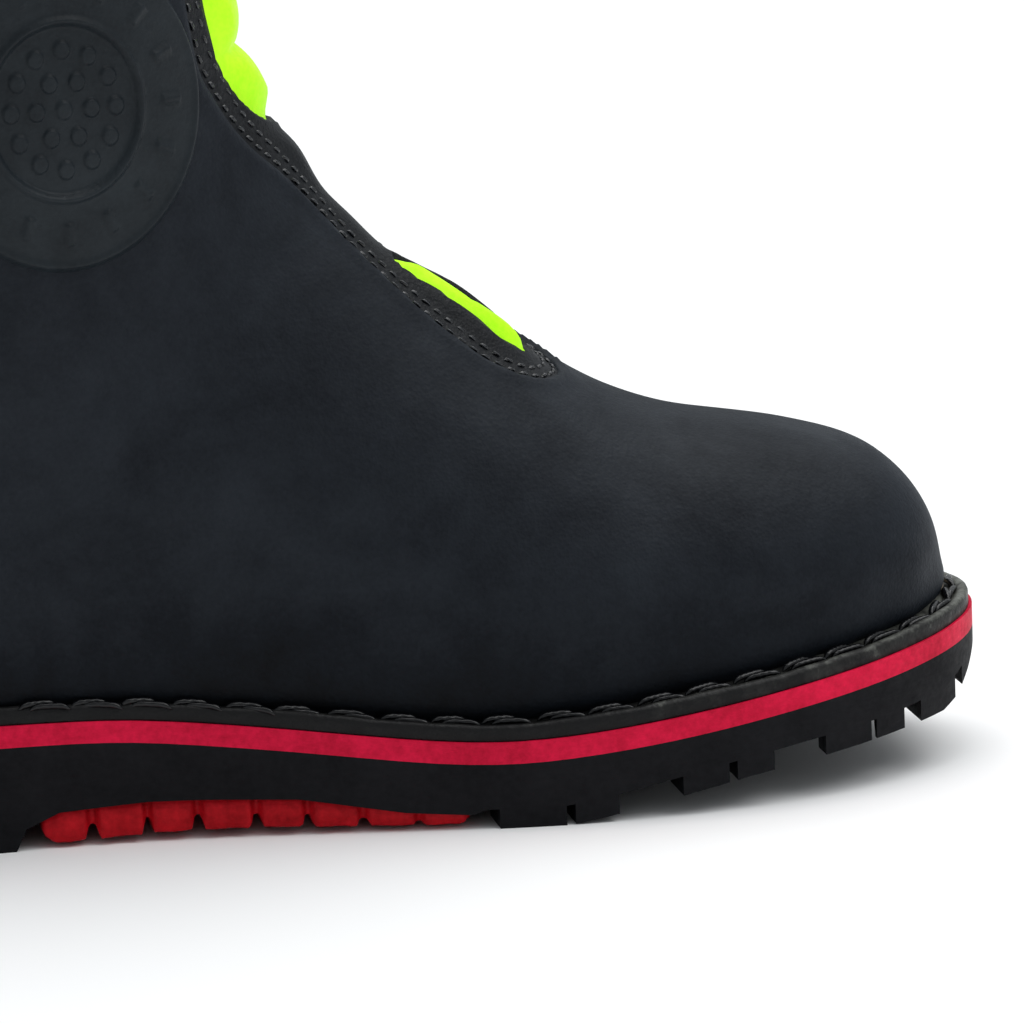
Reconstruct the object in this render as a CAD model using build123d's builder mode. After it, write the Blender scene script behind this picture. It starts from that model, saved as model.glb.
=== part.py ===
from build123d import *
import os
from math import cos, hypot, pi, radians, sin

os.makedirs("parts", exist_ok=True)

# ---------------------------------------------------------------------------
# Driving dimensions, millimetres. +X toe, -Y lateral side, +Z up, floor Z = 0.
# Tables give X from the back of the heel; shift() moves it to the sole centre.
# ---------------------------------------------------------------------------
SOLE_LENGTH = 312.0
HALF = SOLE_LENGTH / 2

MIDSOLE_T = 5.0
WELT_T = 3.5
PLATE_T = 1.0
INSOLE_T = 2.5
LINING_T = 1.5
FOOTBED_T = 5.0
FOOTBED_GAP = 1.6

LEATHER_T = 2.2
MIDLAYER_T = 2.5
IN_LEATHER = -LEATHER_T
IN_MID = -(LEATHER_T + MIDLAYER_T)
IN_LINING = IN_MID - LINING_T

OVERLAY_T = 1.9
STAY_T = 1.4
BAND_T = 0.8
PAD_RISE = 2.8
ANCHOR_T = 4.0

SHAFT_SEAM_Z = 215.0
PANEL_TOP_Z = 290.0
COLLAR_TOP_Z = 308.0
COLLAR_T = 2.2
BAND_Z = (261.0, 283.0)

TREAD_DEPTH = 4.5
HEEL_BREAST_X = 80.0
GRIP_BAR_X = [87 + 12.1 * k for k in range(8)]
GRIP_BAR_W = 9.0

DISC_X, DISC_Z = 98.7, 167.3
DISC_SQUASH = 0.88
DISC_RINGS = (36.5, 34.3, 21.2, 18.9)
DISC_BARS = 16
DISC_BAR = (5.0, 1.6)
DISC_BAR_R = 27.8
DISC_BUMP_R = 1.9
DISC_BUMP_RINGS = [(0.1, 1), (7.0, 6), (13.4, 12)]

LOOP_X = 75.0
LOOP_Y = 52.3
LOOP_HALF_W = 24.0
LOOP_STRAP_W = 11.0
LOOP_T = 2.4
LOOP_RISE = 26.0
LOOP_CORNER_R = 14.0
ANCHOR_Z = (285.0, 309.0)
ANCHOR_HALF_W = 26.5

# Outline of the outsole, and of the upper where it meets the welt.
SOLE_LATERAL = [(0, 0), (4, -14), (15, -27), (40, -37), (80, -38.5), (120, -41), (160, -48),
                (195, -54), (220, -55.5), (250, -52), (275, -43.5), (295, -30), (306, -17),
                (311, -5), (312, 6)]
SOLE_MEDIAL = [(0, 0), (4, 14), (15, 27), (40, 36), (70, 36.5), (100, 35), (130, 36.5),
               (160, 43), (190, 52), (215, 55.5), (240, 55), (265, 51), (288, 43),
               (302, 32.5), (309.5, 20), (312, 6)]
FEATHER_LATERAL = [(3, 0), (7, -13), (17, -24), (41, -34), (80, -35), (120, -36.5),
                   (160, -42), (195, -46.5), (220, -47.8), (250, -44.3), (272, -36.8),
                   (289, -26), (299.5, -14), (304, -3), (305, 6)]
FEATHER_MEDIAL = [(3, 0), (7, 13), (17, 24), (41, 33), (70, 33), (100, 31), (130, 32),
                  (160, 37.5), (190, 44.5), (215, 47.7), (240, 47.2), (262, 43.8),
                  (282, 36.8), (296, 27), (303, 16), (305, 6)]

# Side profile of the top of the midsole: heel seat, waist, tread line, toe spring.
MIDSOLE_TOP = [(-6, 29), (40, 29), (85, 29), (105, 28.5), (125, 26.6), (150, 23.6),
               (175, 20.6), (192, 19.8), (210, 20.8), (240, 24.1), (265, 27.4),
               (290, 30.7), (318, 35)]
# Under side of the outsole: heel, breast, waist arch, ball and toe spring.
WAIST_EDGE = [(82.5, 5), (90, 8.3), (110, 9.5), (122, 9.3), (144, 8.4), (167, 4.5), (182, 3.4)]
TREAD_FACE = [(-6, 4), (3, 1.2), (8, 0), (HEEL_BREAST_X, 0), *WAIST_EDGE, (185, 0),
              (203, 0), (211, 1.1), (221, 3), (233, 5.3), (247, 7.6), (263, 9.6), (284, 11.9),
              (298, 13.2), (303, 15.5), (307, 20), (311, 25.5), (318, 31)]
TREAD_ROOT = [(-6, 8.5), (3, 5.7), (8, 4.5), (HEEL_BREAST_X, 4.5), *WAIST_EDGE, (185, 4.5),
              (203, 4.5), (211, 5.6), (221, 7.5), (233, 9.8), (247, 12.1), (263, 14.1),
              (284, 16.4), (298, 18.6), (303, 20.6), (307, 23.6), (311, 27), (318, 31.5)]
# Walking face of the grip bars under the waist.
GRIP_FACE = [(84, 0.5), (92, 0.7), (112, 1.5), (135, 1.6), (160, 0.8), (184, 0.3)]
# Tread blocks: X range of the side blocks, and of the centre chevrons with their half-width.
SIDE_LUGS = [(16, 29), (32, 45), (48, 61), (64, 82), (188, 203), (205, 215), (230, 241),
             (243, 252), (265, 277), (278.4, 285.5)]
CROSS_LUGS = [(-10, 13, 60), (291, 302, 60), (304.5, 330, 60)]
CHEVRONS = [(19, 30, 11), (36, 47, 11), (53, 64, 11), (192, 204, 17), (213, 225, 17),
            (234, 246, 17), (255, 267, 17), (274, 283, 17)]
HEEL_LUG_INNER_Y = 14.0
BALL_LUG_INNER_Y = 22.0

# Upper: cross-sections fanned round the ankle bend and round the toe.
ANKLE_PIVOT = (222.0, 200.0)
TOE_PIVOT = (250.0, -30.0)
TOE_RADIUS = 230.0
SECTION_POINTS = 24
SECTION_STEPS = [2 * k / SECTION_POINTS for k in range(SECTION_POINTS // 2 + 1)]
# height, front X, back X, half-width
SHAFT_RINGS = [(326, 145, 5.5, 51.5), (300, 143, 6.5, 51), (270, 140, 9, 50),
               (235, 137.5, 12, 48.5), (200, 138, 15, 47)]
# fan angle, front radius, back radius, widest radius, half-width, ridge Y, back power
ANKLE_RINGS = [(12, 83, 209, 147, 45.5, 0, 2.1), (24, 83.5, 227, 161, 43, 0.5, 2.1),
               (33, 82.5, 255.5, 183, 41, 1, 2.3), (38, 83, 272, 190, 39.8, 1.5, 2.4)]
# fan angle, front radius, end radius, height of widest line, ridge Y, front and back power
INSTEP_RINGS = [(43, 83.5, 288, 60, 2, 2.1, 2.4), (50, 85, 285, 56, 3, 2.05, 2.2),
                (60, 87.5, 250, 40, 4, 2.0, 2.2), (70, 90.5, 230, 25, 5.5, 1.95, 2.2),
                (80, 97.2, 218, 17, 7, 1.95, 2.2), (90, 108.4, 212, 13, 7.5, 2.05, 2.2)]
# X, top Z, end depth, ridge Y, front power
VAMP_RINGS = [(236, 85.0, 216, 7, 2.2), (250, 81.4, 218, 6.5, 2.35)]
# fan angle, top radius, height of widest line, front power
TOE_RINGS = [(12, 110.2, 11, 2.4), (22, 109, 9, 2.4), (30, 102.3, 3, 2.4)]
# fan angle, top radius, lateral and medial half-widths of the rounded toe end
TIP_RINGS = [(37, 92, -22, 29), (45, 79, -20, 28), (52, 70, -20, 28)]
# Stations of the finished sections in each of the four fans.
SHAFT_STATIONS = [326, 300, 270, 240, 220]
ANKLE_STATIONS = [0, 8, 16, 24, 32, 38, 44, 51, 58, 66, 74, 82]
VAMP_STATIONS = [222, 236]
TOE_STATIONS = [0, 8, 15, 22, 29, 36, 44, 52]

# Flexible front gusset on the instep plane: distance down the instep, half-width.
GUSSET = [(-113, 0), (-110.5, 11), (-103, 20), (-92, 24), (-80, 25.4), (-66, 25.6),
          (-57, 24.5), (-50, 21.9), (-43, 19.4), (-34.5, 16.2), (-25, 12), (-16, 9.8), (-5, 9.4),
          (5, 10), (16, 11.4), (27, 13), (38, 13.8), (46, 12.4), (51.5, 8.4), (54.5, 0)]
SHIN_WINDOW = [(-104, 0), (-102, 11), (-96, 17.2), (-87, 19.4), (-76, 20.2), (-62, 20.2),
               (-53, 18.4), (-43, 13.8), (-36, 7.8), (-33, 0)]
INSTEP_WINDOW = [(9, 0), (12.5, 3), (19, 4.1), (27, 4.7), (35, 5.1), (41, 4.8), (45, 3.2),
                 (47, 0)]
GUSSET_ORIGIN = (170.0, 130.0)
GUSSET_MARGIN = 1.2
SHIN_CREASE_Z = [157 + 18.5 * k for k in range(6)]
BRIDGE_RIBS = [(-31.5, -13.5)]
RIB_STEPS = [(1.4, 0.9), (PAD_RISE, 3.6)]

# Heel counter cover and heel stiffener, seen from the side.
COUNTER = [(76, 20), (75, 44), (69, 64), (57, 84), (42, 98), (25, 108), (0, 112), (-20, 112),
           (-20, 20)]
STIFFENER = [(72, 20), (71, 44), (62, 66), (46, 80), (26, 88), (-20, 88), (-20, 20)]
STAY_HALF_W = 11.0
TOE_CAP_X = 258.0
CUSHION_X = 250.0
SHANK_X = (60.0, 168.0)
SHANK_W = 15.0
SHANK_T = 1.5

WELT_STITCH_PITCH = 12.0
WELT_STITCH_R = 0.9
SEAM_PITCH = 5.0
SEAM_STITCH = (3.4, 0.9, 0.9)
SEAM_ROWS = [0.0, -2.8]


def shift(points):
    return [(x - HALF, v) for x, v in points]


def at_x(table, x):
    """Straight-line reading of a profile table at x."""
    for (x0, v0), (x1, v1) in zip(table, table[1:]):
        if x <= x1:
            break
    return v0 + (v1 - v0) * (x - x0) / (x1 - x0)


def inset(points, distance):
    """Closed ring of points moved inward along the local normal."""
    ring = []
    for k, (x, y) in enumerate(points):
        (xa, ya), (xb, yb) = points[k - 1], points[(k + 1) % len(points)]
        length = hypot(xb - xa, yb - ya)
        ring.append((x + (yb - ya) / length * -distance, y + (xb - xa) / length * distance))
    return ring


def sole_ring(lateral, medial, distance=0.0):
    return inset(shift(lateral + medial[-2:0:-1]), distance)


def prism(ring, height=70.0):
    """Upright solid standing on the floor inside a closed outline."""
    with BuildPart() as solid:
        with BuildSketch(Plane.XY.offset(-10)):
            with BuildLine():
                Spline(*ring, periodic=True)
            make_face()
        extrude(amount=height)
    return solid.part


def curved_band(low, high, table=MIDSOLE_TOP):
    """Layer between two copies of a side profile, wide enough for the whole boot."""
    with BuildPart() as solid:
        with BuildSketch(Plane.XZ):
            with BuildLine():
                bottom = Spline(*[(x, z + low) for x, z in shift(table)])
                top = Spline(*[(x, z + high) for x, z in shift(table)])
                Line(bottom @ 0, top @ 0)
                Line(bottom @ 1, top @ 1)
            make_face()
        extrude(amount=80, both=True)
    return solid.part


def above(low, top_z):
    """Everything between the raised midsole profile and a level ceiling."""
    with BuildPart() as solid:
        with BuildSketch(Plane.XZ):
            with BuildLine():
                floor = Spline(*[(x, z + low) for x, z in shift(MIDSOLE_TOP)])
                Polyline(floor @ 1, (318 - HALF, top_z), (-6 - HALF, top_z), floor @ 0)
            make_face()
        extrude(amount=80, both=True)
    return solid.part


def between(low, high):
    """Layer between two side profiles given over the same stretch of the sole."""
    with BuildPart() as solid:
        with BuildSketch(Plane.XZ):
            with BuildLine():
                Polyline(*shift(low), *shift(high[::-1]), close=True)
            make_face()
        extrude(amount=80, both=True)
    return solid.part


def raised(table, amount):
    return [(x, z + amount) for x, z in table]


def polygon_side(points, half=80.0):
    """Side-view polygon pushed out to both sides."""
    with BuildPart() as solid:
        with BuildSketch(Plane.XZ):
            with BuildLine():
                Polyline(*shift(points), close=True)
            make_face()
        extrude(amount=half, both=True)
    return solid.part


def slab(x_range, y_range, z_range):
    """Block between pairs of limits; X counted from the back of the heel."""
    (x0, x1), (y0, y1), (z0, z1) = x_range, y_range, z_range
    with BuildPart() as solid:
        with BuildSketch(Plane.XY.offset(z0)):
            with Locations(((x0 + x1) / 2 - HALF, (y0 + y1) / 2)):
                Rectangle(x1 - x0, y1 - y0)
        extrude(amount=z1 - z0)
    return solid.part


def feather_z(x):
    return at_x(MIDSOLE_TOP, x) + WELT_T


def placement(fan, station):
    """Origin and fan angle of a section; its local axis runs from the front inward."""
    if fan == "shaft":
        return (ANKLE_PIVOT[0], station), 0.0
    if fan == "ankle":
        return ANKLE_PIVOT, station
    if fan == "vamp":
        return (station, ANKLE_PIVOT[1]), 90.0
    tilt = radians(station)
    return (TOE_PIVOT[0] + TOE_RADIUS * sin(tilt),
            TOE_PIVOT[1] + TOE_RADIUS * cos(tilt)), 90.0 - station


def fit_width(fan, station, front, back, rise, ridge, n_front, n_back):
    """Widest line a set height above the welt, sized so the ring meets the feather line."""
    (x0, z0), angle = placement(fan, station)
    ux, uz = -cos(radians(angle)), -sin(radians(angle))
    reach = 170.0
    for _ in range(40):
        reach = (feather_z(x0 + ux * reach) - z0) / uz
    x = x0 + ux * reach
    widest = reach - rise
    share = (1 - ((reach - widest) / (back - widest)) ** n_back) ** (1 / n_back)
    return (station, front, back, widest, at_x(FEATHER_LATERAL, x) / share,
            at_x(FEATHER_MEDIAL, x) / share, ridge, n_front, n_back)


def upper_rows():
    """Rows of (station, front, back, widest, lateral, medial, ridge, powers) for each fan."""
    x0 = ANKLE_PIVOT[0]
    shaft = [(z, x0 - front, x0 - back, x0 - (front + back) / 2, -half, half, 0, 2.1, 2.1)
             for z, front, back, half in SHAFT_RINGS]
    ankle = [(0,) + shaft[-1][1:]]
    ankle += [(angle, front, back, widest, -half, half, ridge, 2.1, n_back)
              for angle, front, back, widest, half, ridge, n_back in ANKLE_RINGS]
    ankle += [fit_width("ankle", *row) for row in INSTEP_RINGS]
    vamp = [(x0,) + ankle[-1][1:]]
    vamp += [fit_width("vamp", x, 200 - top, back, 12, ridge, n_front, 2.2)
             for x, top, back, ridge, n_front in VAMP_RINGS]
    toe = [(0,) + vamp[-1][1:]]
    toe += [fit_width("toe", angle, TOE_RADIUS - top, TOE_RADIUS - 12, rise, 6, n_front, 2.2)
            for angle, top, rise, n_front in TOE_RINGS]
    toe += [(angle, TOE_RADIUS - top, TOE_RADIUS - 12, TOE_RADIUS - top + 42, lateral, medial,
             6, 2.3, 2.2) for angle, top, lateral, medial in TIP_RINGS]
    return {"shaft": shaft[::-1], "ankle": ankle, "vamp": vamp, "toe": toe}


def smooth(rows, column, station):
    """Cubic reading of one column of a table of rows, with slopes from the neighbours."""
    last = len(rows) - 1
    k = max(i for i in range(last) if i == 0 or rows[i][0] <= station)
    slopes = []
    for i in (k, k + 1):
        a, b = rows[max(i - 1, 0)], rows[min(i + 1, last)]
        slopes.append((b[column] - a[column]) / (b[0] - a[0]))
    width = rows[k + 1][0] - rows[k][0]
    t = (station - rows[k][0]) / width
    return (rows[k][column] * (1 + 2 * t) * (1 - t) ** 2 + slopes[0] * width * t * (1 - t) ** 2
            + rows[k + 1][column] * t * t * (3 - 2 * t) - slopes[1] * width * t * t * (1 - t))


def upper_rings():
    rows = upper_rows()
    rings = []
    for fan, stations in (("shaft", SHAFT_STATIONS), ("ankle", ANKLE_STATIONS),
                          ("vamp", VAMP_STATIONS), ("toe", TOE_STATIONS)):
        for station in stations:
            rings.append((fan, station)
                         + tuple(smooth(rows[fan], column, station) for column in range(1, 9)))
    return rings


RINGS = upper_rings()


def ring_plane(ring):
    (x, z), angle = placement(ring[0], ring[1])
    x_dir = Vector(-cos(radians(angle)), 0, -sin(radians(angle)))
    return Plane(origin=(x - HALF, 0, z), x_dir=x_dir, z_dir=x_dir.cross(Vector(0, 1, 0)))


def ring_points(ring, offset):
    """Rounded closed section, moved out (or in) by the offset."""
    _, _, front, back, widest, lateral, medial, ridge, n_front, n_back = ring
    front, back = front - offset, back + offset
    points = []
    for k in range(SECTION_POINTS):
        turn = 2 * pi * k / SECTION_POINTS
        along, across = abs(cos(turn)), abs(sin(turn))
        half = medial + offset if turn < pi else lateral - offset
        if cos(turn) > 0:
            points.append((widest - (widest - front) * along ** (2 / n_front),
                           ridge + (half - ridge) * across ** (2 / n_front)))
        else:
            points.append((widest + (back - widest) * along ** (2 / n_back),
                           half * across ** (2 / n_back)))
    return points


def foot_form(offset):
    """Solid bounded by the outside of the upper, moved out (or in) by the offset."""
    half_turn = SECTION_POINTS // 2
    with BuildPart() as solid:
        for ring in RINGS:
            points = ring_points(ring, offset)
            with BuildSketch(ring_plane(ring)):
                with BuildLine():
                    add(Edge.make_spline(points[:half_turn + 1], parameters=SECTION_STEPS))
                    add(Edge.make_spline(points[half_turn:] + points[:1],
                                         parameters=SECTION_STEPS))
                make_face()
        loft()
    return solid.part


GUSSET_PLANE = Plane(origin=(GUSSET_ORIGIN[0] - HALF, 0, GUSSET_ORIGIN[1]),
                     x_dir=(1, 0, -1), z_dir=(1, 0, 1))


def gusset_centre(t):
    """The gusset leans to the lateral side towards its lower point."""
    return -4.0 * min(1.0, max(0.0, (t + 30) / 80))


def gusset_ring(table, grow):
    """Closed outline on the instep plane, started away from the middle line."""
    left = [(t, gusset_centre(t) - w) for t, w in table]
    right = [(t, gusset_centre(t) + w) for t, w in table[-2:0:-1]]
    ring = inset(left + right, -grow)
    return ring[3:] + ring[:3]


def gusset_prism(table, grow=0.0, low=-14.0, high=120.0):
    """Window shape on the instep plane pushed through the front of the boot."""
    with BuildPart() as solid:
        with BuildSketch(GUSSET_PLANE.offset(low)):
            with BuildLine():
                Spline(*gusset_ring(table, grow), periodic=True)
            make_face()
        extrude(amount=high - low)
    return solid.part


def gusset_block(t_range, half_width):
    """Straight block across the gusset between two distances down the instep."""
    t0, t1 = t_range
    with BuildPart() as solid:
        with BuildSketch(GUSSET_PLANE.offset(-14)):
            with Locations(((t0 + t1) / 2, gusset_centre((t0 + t1) / 2))):
                Rectangle(t1 - t0, 2 * half_width)
        extrude(amount=60)
    return solid.part


def lug_pattern():
    """Plan of all tread blocks, pushed up through the sole."""
    shapes = [[(x0, -w), (x1, -w), (x1, w), (x0, w)] for x0, x1, w in CROSS_LUGS]
    for x0, x1, w in CHEVRONS:
        nose = 0.4 * w
        shapes.append([(x0, -w), (x1, -w), (x1 + nose, 0), (x1, w), (x0, w), (x0 + nose, 0)])
    for x0, x1 in SIDE_LUGS:
        inner = HEEL_LUG_INNER_Y if x1 < 100 else BALL_LUG_INNER_Y
        for side in (-1, 1):
            shapes.append([(x0, side * 70), (x1, side * 70), (x1, side * 40),
                           (x1 + 4, side * inner), (x0 + 4, side * inner), (x0, side * 40)])
    with BuildPart() as solid:
        with BuildSketch(Plane.XY.offset(-1)):
            for points in shapes:
                with BuildLine():
                    Polyline(*shift(points), close=True)
                make_face()
        extrude(amount=40)
    return solid.part


def disc_places(radius, count):
    """Even places round the disc, which is narrower than it is tall: X, Z and angle."""
    return [(DISC_X - HALF + radius * DISC_SQUASH * cos(2 * pi * k / count),
             DISC_Z + radius * sin(2 * pi * k / count), 360 * k / count) for k in range(count)]


def disc_prism(side, raised_only):
    """Guard disc seen from the side, pushed out through one side of the shaft."""
    rim, bead, lip, well = DISC_RINGS
    with BuildPart() as solid:
        with BuildSketch(Plane.XZ):
            with Locations((DISC_X - HALF, DISC_Z)):
                Ellipse(rim * DISC_SQUASH, rim)
                if raised_only:
                    Ellipse(bead * DISC_SQUASH, bead, mode=Mode.SUBTRACT)
                    Ellipse(lip * DISC_SQUASH, lip)
                    Ellipse(well * DISC_SQUASH, well, mode=Mode.SUBTRACT)
            if raised_only:
                for x, z, turn in disc_places(DISC_BAR_R, DISC_BARS):
                    with Locations((x, z)):
                        Rectangle(*DISC_BAR, rotation=turn)
                for radius, count in DISC_BUMP_RINGS:
                    with Locations(*[(x, z) for x, z, _ in disc_places(radius, count)]):
                        Circle(DISC_BUMP_R)
        extrude(amount=-70.0 * side)
    return solid.part


def seam_points(grow):
    """Even steps along the gusset edge, laid on the outside of the upper."""
    with BuildLine() as line:
        Spline(*gusset_ring(GUSSET, grow), periodic=True)
    edge = line.edges()[0]
    steps = round(edge.length / SEAM_PITCH)
    hits = []
    for k in range(steps):
        spot = edge @ (k / steps)
        far = GUSSET_PLANE.offset(120).from_local_coords((spot.X, spot.Y, 0))
        hits.append(front_gusset.part.find_intersection_points(
            Axis(far, -GUSSET_PLANE.z_dir))[0])
    return hits


def seam_places(grow):
    """Positions of the stitches: long axis along the seam, height along the surface normal."""
    hits = seam_points(grow)
    places = []
    for k, (point, normal) in enumerate(hits):
        along = hits[(k + 1) % len(hits)][0] - hits[k - 1][0]
        places.append(Location(Plane(origin=point, x_dir=along, z_dir=normal)))
    return places


def welt_places():
    """Positions of the welt stitches, in the channel between the upper and the bead."""
    with BuildLine() as line:
        Spline(*sole_ring(FEATHER_LATERAL, FEATHER_MEDIAL, -2.2), periodic=True)
    edge = line.edges()[0]
    steps = round(edge.length / WELT_STITCH_PITCH)
    places = []
    for k in range(steps):
        spot, along = edge @ (k / steps), edge % (k / steps)
        x = spot.X + HALF
        slope = (feather_z(x + 2) - feather_z(x - 2)) / 4
        if x > HEEL_BREAST_X:
            places.append(Location(Plane(origin=(spot.X, spot.Y, feather_z(x)),
                                         x_dir=(0, 0, 1),
                                         z_dir=(along.X, along.Y, along.X * slope))))
    return places


def pull_loop(side):
    """Flat strap arch standing on its anchor, rounded at the feet to swing about X."""
    plane = Plane(origin=(LOOP_X - HALF, side * (LOOP_Y - LOOP_T / 2),
                          ANCHOR_Z[1] + 0.05), x_dir=(1, 0, 0), z_dir=(0, side, 0))
    up = -side
    inner = LOOP_HALF_W - LOOP_STRAP_W
    top = LOOP_RISE - LOOP_STRAP_W
    with BuildPart() as solid:
        with BuildSketch(plane):
            with BuildLine():
                FilletPolyline((-LOOP_HALF_W, 0), (-LOOP_HALF_W, up * LOOP_RISE),
                               (LOOP_HALF_W, up * LOOP_RISE), (LOOP_HALF_W, 0),
                               radius=LOOP_CORNER_R)
                Line((LOOP_HALF_W, 0), (inner, 0))
                FilletPolyline((inner, 0), (inner, up * top), (-inner, up * top), (-inner, 0),
                               radius=LOOP_CORNER_R - 5)
                Line((-inner, 0), (-LOOP_HALF_W, 0))
            make_face()
        extrude(amount=LOOP_T)
        feet = solid.edges().filter_by(Axis.X).group_by(Axis.Z)[0]
        fillet(feet, radius=LOOP_T / 2 - 0.02)
    return solid.part


def loop_anchor(side):
    """Leather patch sewn over the collar edge, with a level seat for the strap."""
    reach = (LOOP_X - ANCHOR_HALF_W, LOOP_X + ANCHOR_HALF_W)
    outward = tuple(sorted((side * 30, side * 80)))
    seat_y = tuple(sorted((side * (LOOP_Y - LOOP_T / 2 - 0.3), side * (LOOP_Y + LOOP_T / 2 + 0.3))))
    patch = (FORM_ANCHOR & slab(reach, outward, ANCHOR_Z)) - FORM_OUT
    patch -= FORM_COLLAR & slab(reach, outward, (PANEL_TOP_Z, ANCHOR_Z[1]))
    return patch + slab(reach, seat_y, (COLLAR_TOP_Z, ANCHOR_Z[1]))


def ribbed(window, base, rib_blocks):
    """Padded panel: base layer in the window plus stepped ribs standing proud of it."""
    body = base & window
    for (rise, margin), form in zip(RIB_STEPS, RIB_FORMS):
        body += (form & (window & gather(rib_blocks(margin)))) - FORM_LEATHER
    return body


def shin_blocks(margin):
    return [slab((90, 200), (-40, 40), (low + margin, high - margin))
            for low, high in zip(SHIN_CREASE_Z, SHIN_CREASE_Z[1:])]


def bridge_blocks(margin):
    return [gusset_block((t0 + margin, t1 - margin), 9 - margin) for t0, t1 in BRIDGE_RIBS]


def gather(parts):
    """One body from a list of touching or separate solids."""
    with BuildPart() as body:
        for item in parts:
            add(item)
    return body.part


# ---------------------------------------------------------------------------
# Forms shared by several pieces
# ---------------------------------------------------------------------------
FORM_OUT = foot_form(0)
FORM_LEATHER = foot_form(IN_LEATHER)
FORM_MID = foot_form(IN_MID)
FORM_LINING = foot_form(IN_LINING)
FORM_FOOTBED = foot_form(IN_LINING - FOOTBED_GAP)
FORM_BAND = foot_form(BAND_T)
FORM_STAY = foot_form(STAY_T)
FORM_OVERLAY = foot_form(OVERLAY_T)
FORM_COLLAR = foot_form(COLLAR_T)
FORM_ANCHOR = foot_form(ANCHOR_T)
RIB_FORMS = [foot_form(rise) for rise, _ in RIB_STEPS]

INSOLE_TOP = WELT_T + PLATE_T + INSOLE_T
INNER_REGION = above(INSOLE_TOP, PANEL_TOP_Z)
GUSSET_CUT = gusset_prism(GUSSET, GUSSET_MARGIN)
SHIN_CUT = gusset_prism(SHIN_WINDOW)
INSTEP_CUT = gusset_prism(INSTEP_WINDOW)
LEATHER = (FORM_OUT & above(WELT_T, PANEL_TOP_Z)) - FORM_LEATHER
MID_LAYER = (FORM_LEATHER & INNER_REGION) - FORM_MID
SHAFT_REGION = slab((-20, 200), (-80, 80), (SHAFT_SEAM_Z, PANEL_TOP_Z + 10))

SOLE_PRISM = prism(sole_ring(SOLE_LATERAL, SOLE_MEDIAL))
WELT_INNER = prism(sole_ring(FEATHER_LATERAL, FEATHER_MEDIAL, 5.0))
INSERT_PLATE = between(WAIST_EDGE, raised(WAIST_EDGE, 2.5)) & slab((86, 182), (-80, 80), (0, 30))
INSERT_PLATE &= prism(sole_ring(SOLE_LATERAL, SOLE_MEDIAL, 3.0))
SHANK_BAR = slab(SHANK_X, (-SHANK_W / 2, SHANK_W / 2), (0, 60))

# ---------------------------------------------------------------------------
# Bottom of the boot
# ---------------------------------------------------------------------------
LUGS = lug_pattern() & between(TREAD_FACE, raised(TREAD_ROOT, 1.0))
SOLE_BLOCK = between(TREAD_ROOT, [(-6, 40), (318, 40)])
with BuildPart() as outsole:
    add(SOLE_BLOCK)
    add(LUGS)
    add(SOLE_PRISM, mode=Mode.INTERSECT)
    add(above(-MIDSOLE_T, 100), mode=Mode.SUBTRACT)
    add(INSERT_PLATE, mode=Mode.SUBTRACT)
outsole.part.label = "outsole"
export_step(outsole.part, "parts/outsole.step")

# Grip bars: cross bars joined by the plate that is moulded into the waist.
GRIP_BARS = gather([slab((x, x + GRIP_BAR_W), (-80, 80), (0, 30)) for x in GRIP_BAR_X])
GRIP_LAYER = between(GRIP_FACE, [(84, 30), (184, 30)]) - between(
    WAIST_EDGE, [(82.5, 40), (182, 40)])
with BuildPart() as ladder_insert:
    add(GRIP_BARS)
    add(GRIP_LAYER, mode=Mode.INTERSECT)
    add(prism(sole_ring(SOLE_LATERAL, SOLE_MEDIAL, 1.2)), mode=Mode.INTERSECT)
    add(INSERT_PLATE)
ladder_insert.part.label = "ladder_insert"
export_step(ladder_insert.part, "parts/ladder_insert.step")

with BuildPart() as midsole:
    add(SOLE_PRISM)
    add(curved_band(-MIDSOLE_T, 0), mode=Mode.INTERSECT)
midsole.part.label = "midsole"
export_step(midsole.part, "parts/midsole.step")

# Welt: flat leather strip round the whole sole, its inner edge under the upper.
with BuildPart() as welt:
    add(prism(sole_ring(SOLE_LATERAL, SOLE_MEDIAL, 0.6)))
    add(curved_band(0, WELT_T), mode=Mode.INTERSECT)
    add(WELT_INNER, mode=Mode.SUBTRACT)
welt.part.label = "welt"
export_step(welt.part, "parts/welt.step")

# Waxed thread, half sunk in the channel of the welt.
with BuildPart() as welt_stitching:
    with Locations(*welt_places()):
        Cylinder(WELT_STITCH_R, WELT_STITCH_PITCH - 3.2)
welt_stitching.part.label = "welt_stitching"
export_step(welt_stitching.part, "parts/welt_stitching.step")

with BuildPart() as cork_filler:
    add(WELT_INNER)
    add(curved_band(0, WELT_T), mode=Mode.INTERSECT)
    add(SHANK_BAR & curved_band(WELT_T - SHANK_T, WELT_T + 5), mode=Mode.SUBTRACT)
cork_filler.part.label = "cork_filler"
export_step(cork_filler.part, "parts/cork_filler.step")

with BuildPart() as shank:
    add(SHANK_BAR)
    add(curved_band(WELT_T - SHANK_T, WELT_T), mode=Mode.INTERSECT)
shank.part.label = "shank"
export_step(shank.part, "parts/shank.step")

with BuildPart() as puncture_plate:
    add(FORM_LEATHER)
    add(curved_band(WELT_T, WELT_T + PLATE_T), mode=Mode.INTERSECT)
puncture_plate.part.label = "puncture_plate"
export_step(puncture_plate.part, "parts/puncture_plate.step")

with BuildPart() as insole_board:
    add(FORM_LEATHER)
    add(curved_band(WELT_T + PLATE_T, INSOLE_TOP), mode=Mode.INTERSECT)
insole_board.part.label = "insole_board"
export_step(insole_board.part, "parts/insole_board.step")

with BuildPart() as footbed:
    add(FORM_FOOTBED)
    add(curved_band(INSOLE_TOP + LINING_T, INSOLE_TOP + LINING_T + FOOTBED_T),
        mode=Mode.INTERSECT)
footbed.part.label = "footbed"
export_step(footbed.part, "parts/footbed.step")

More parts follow.
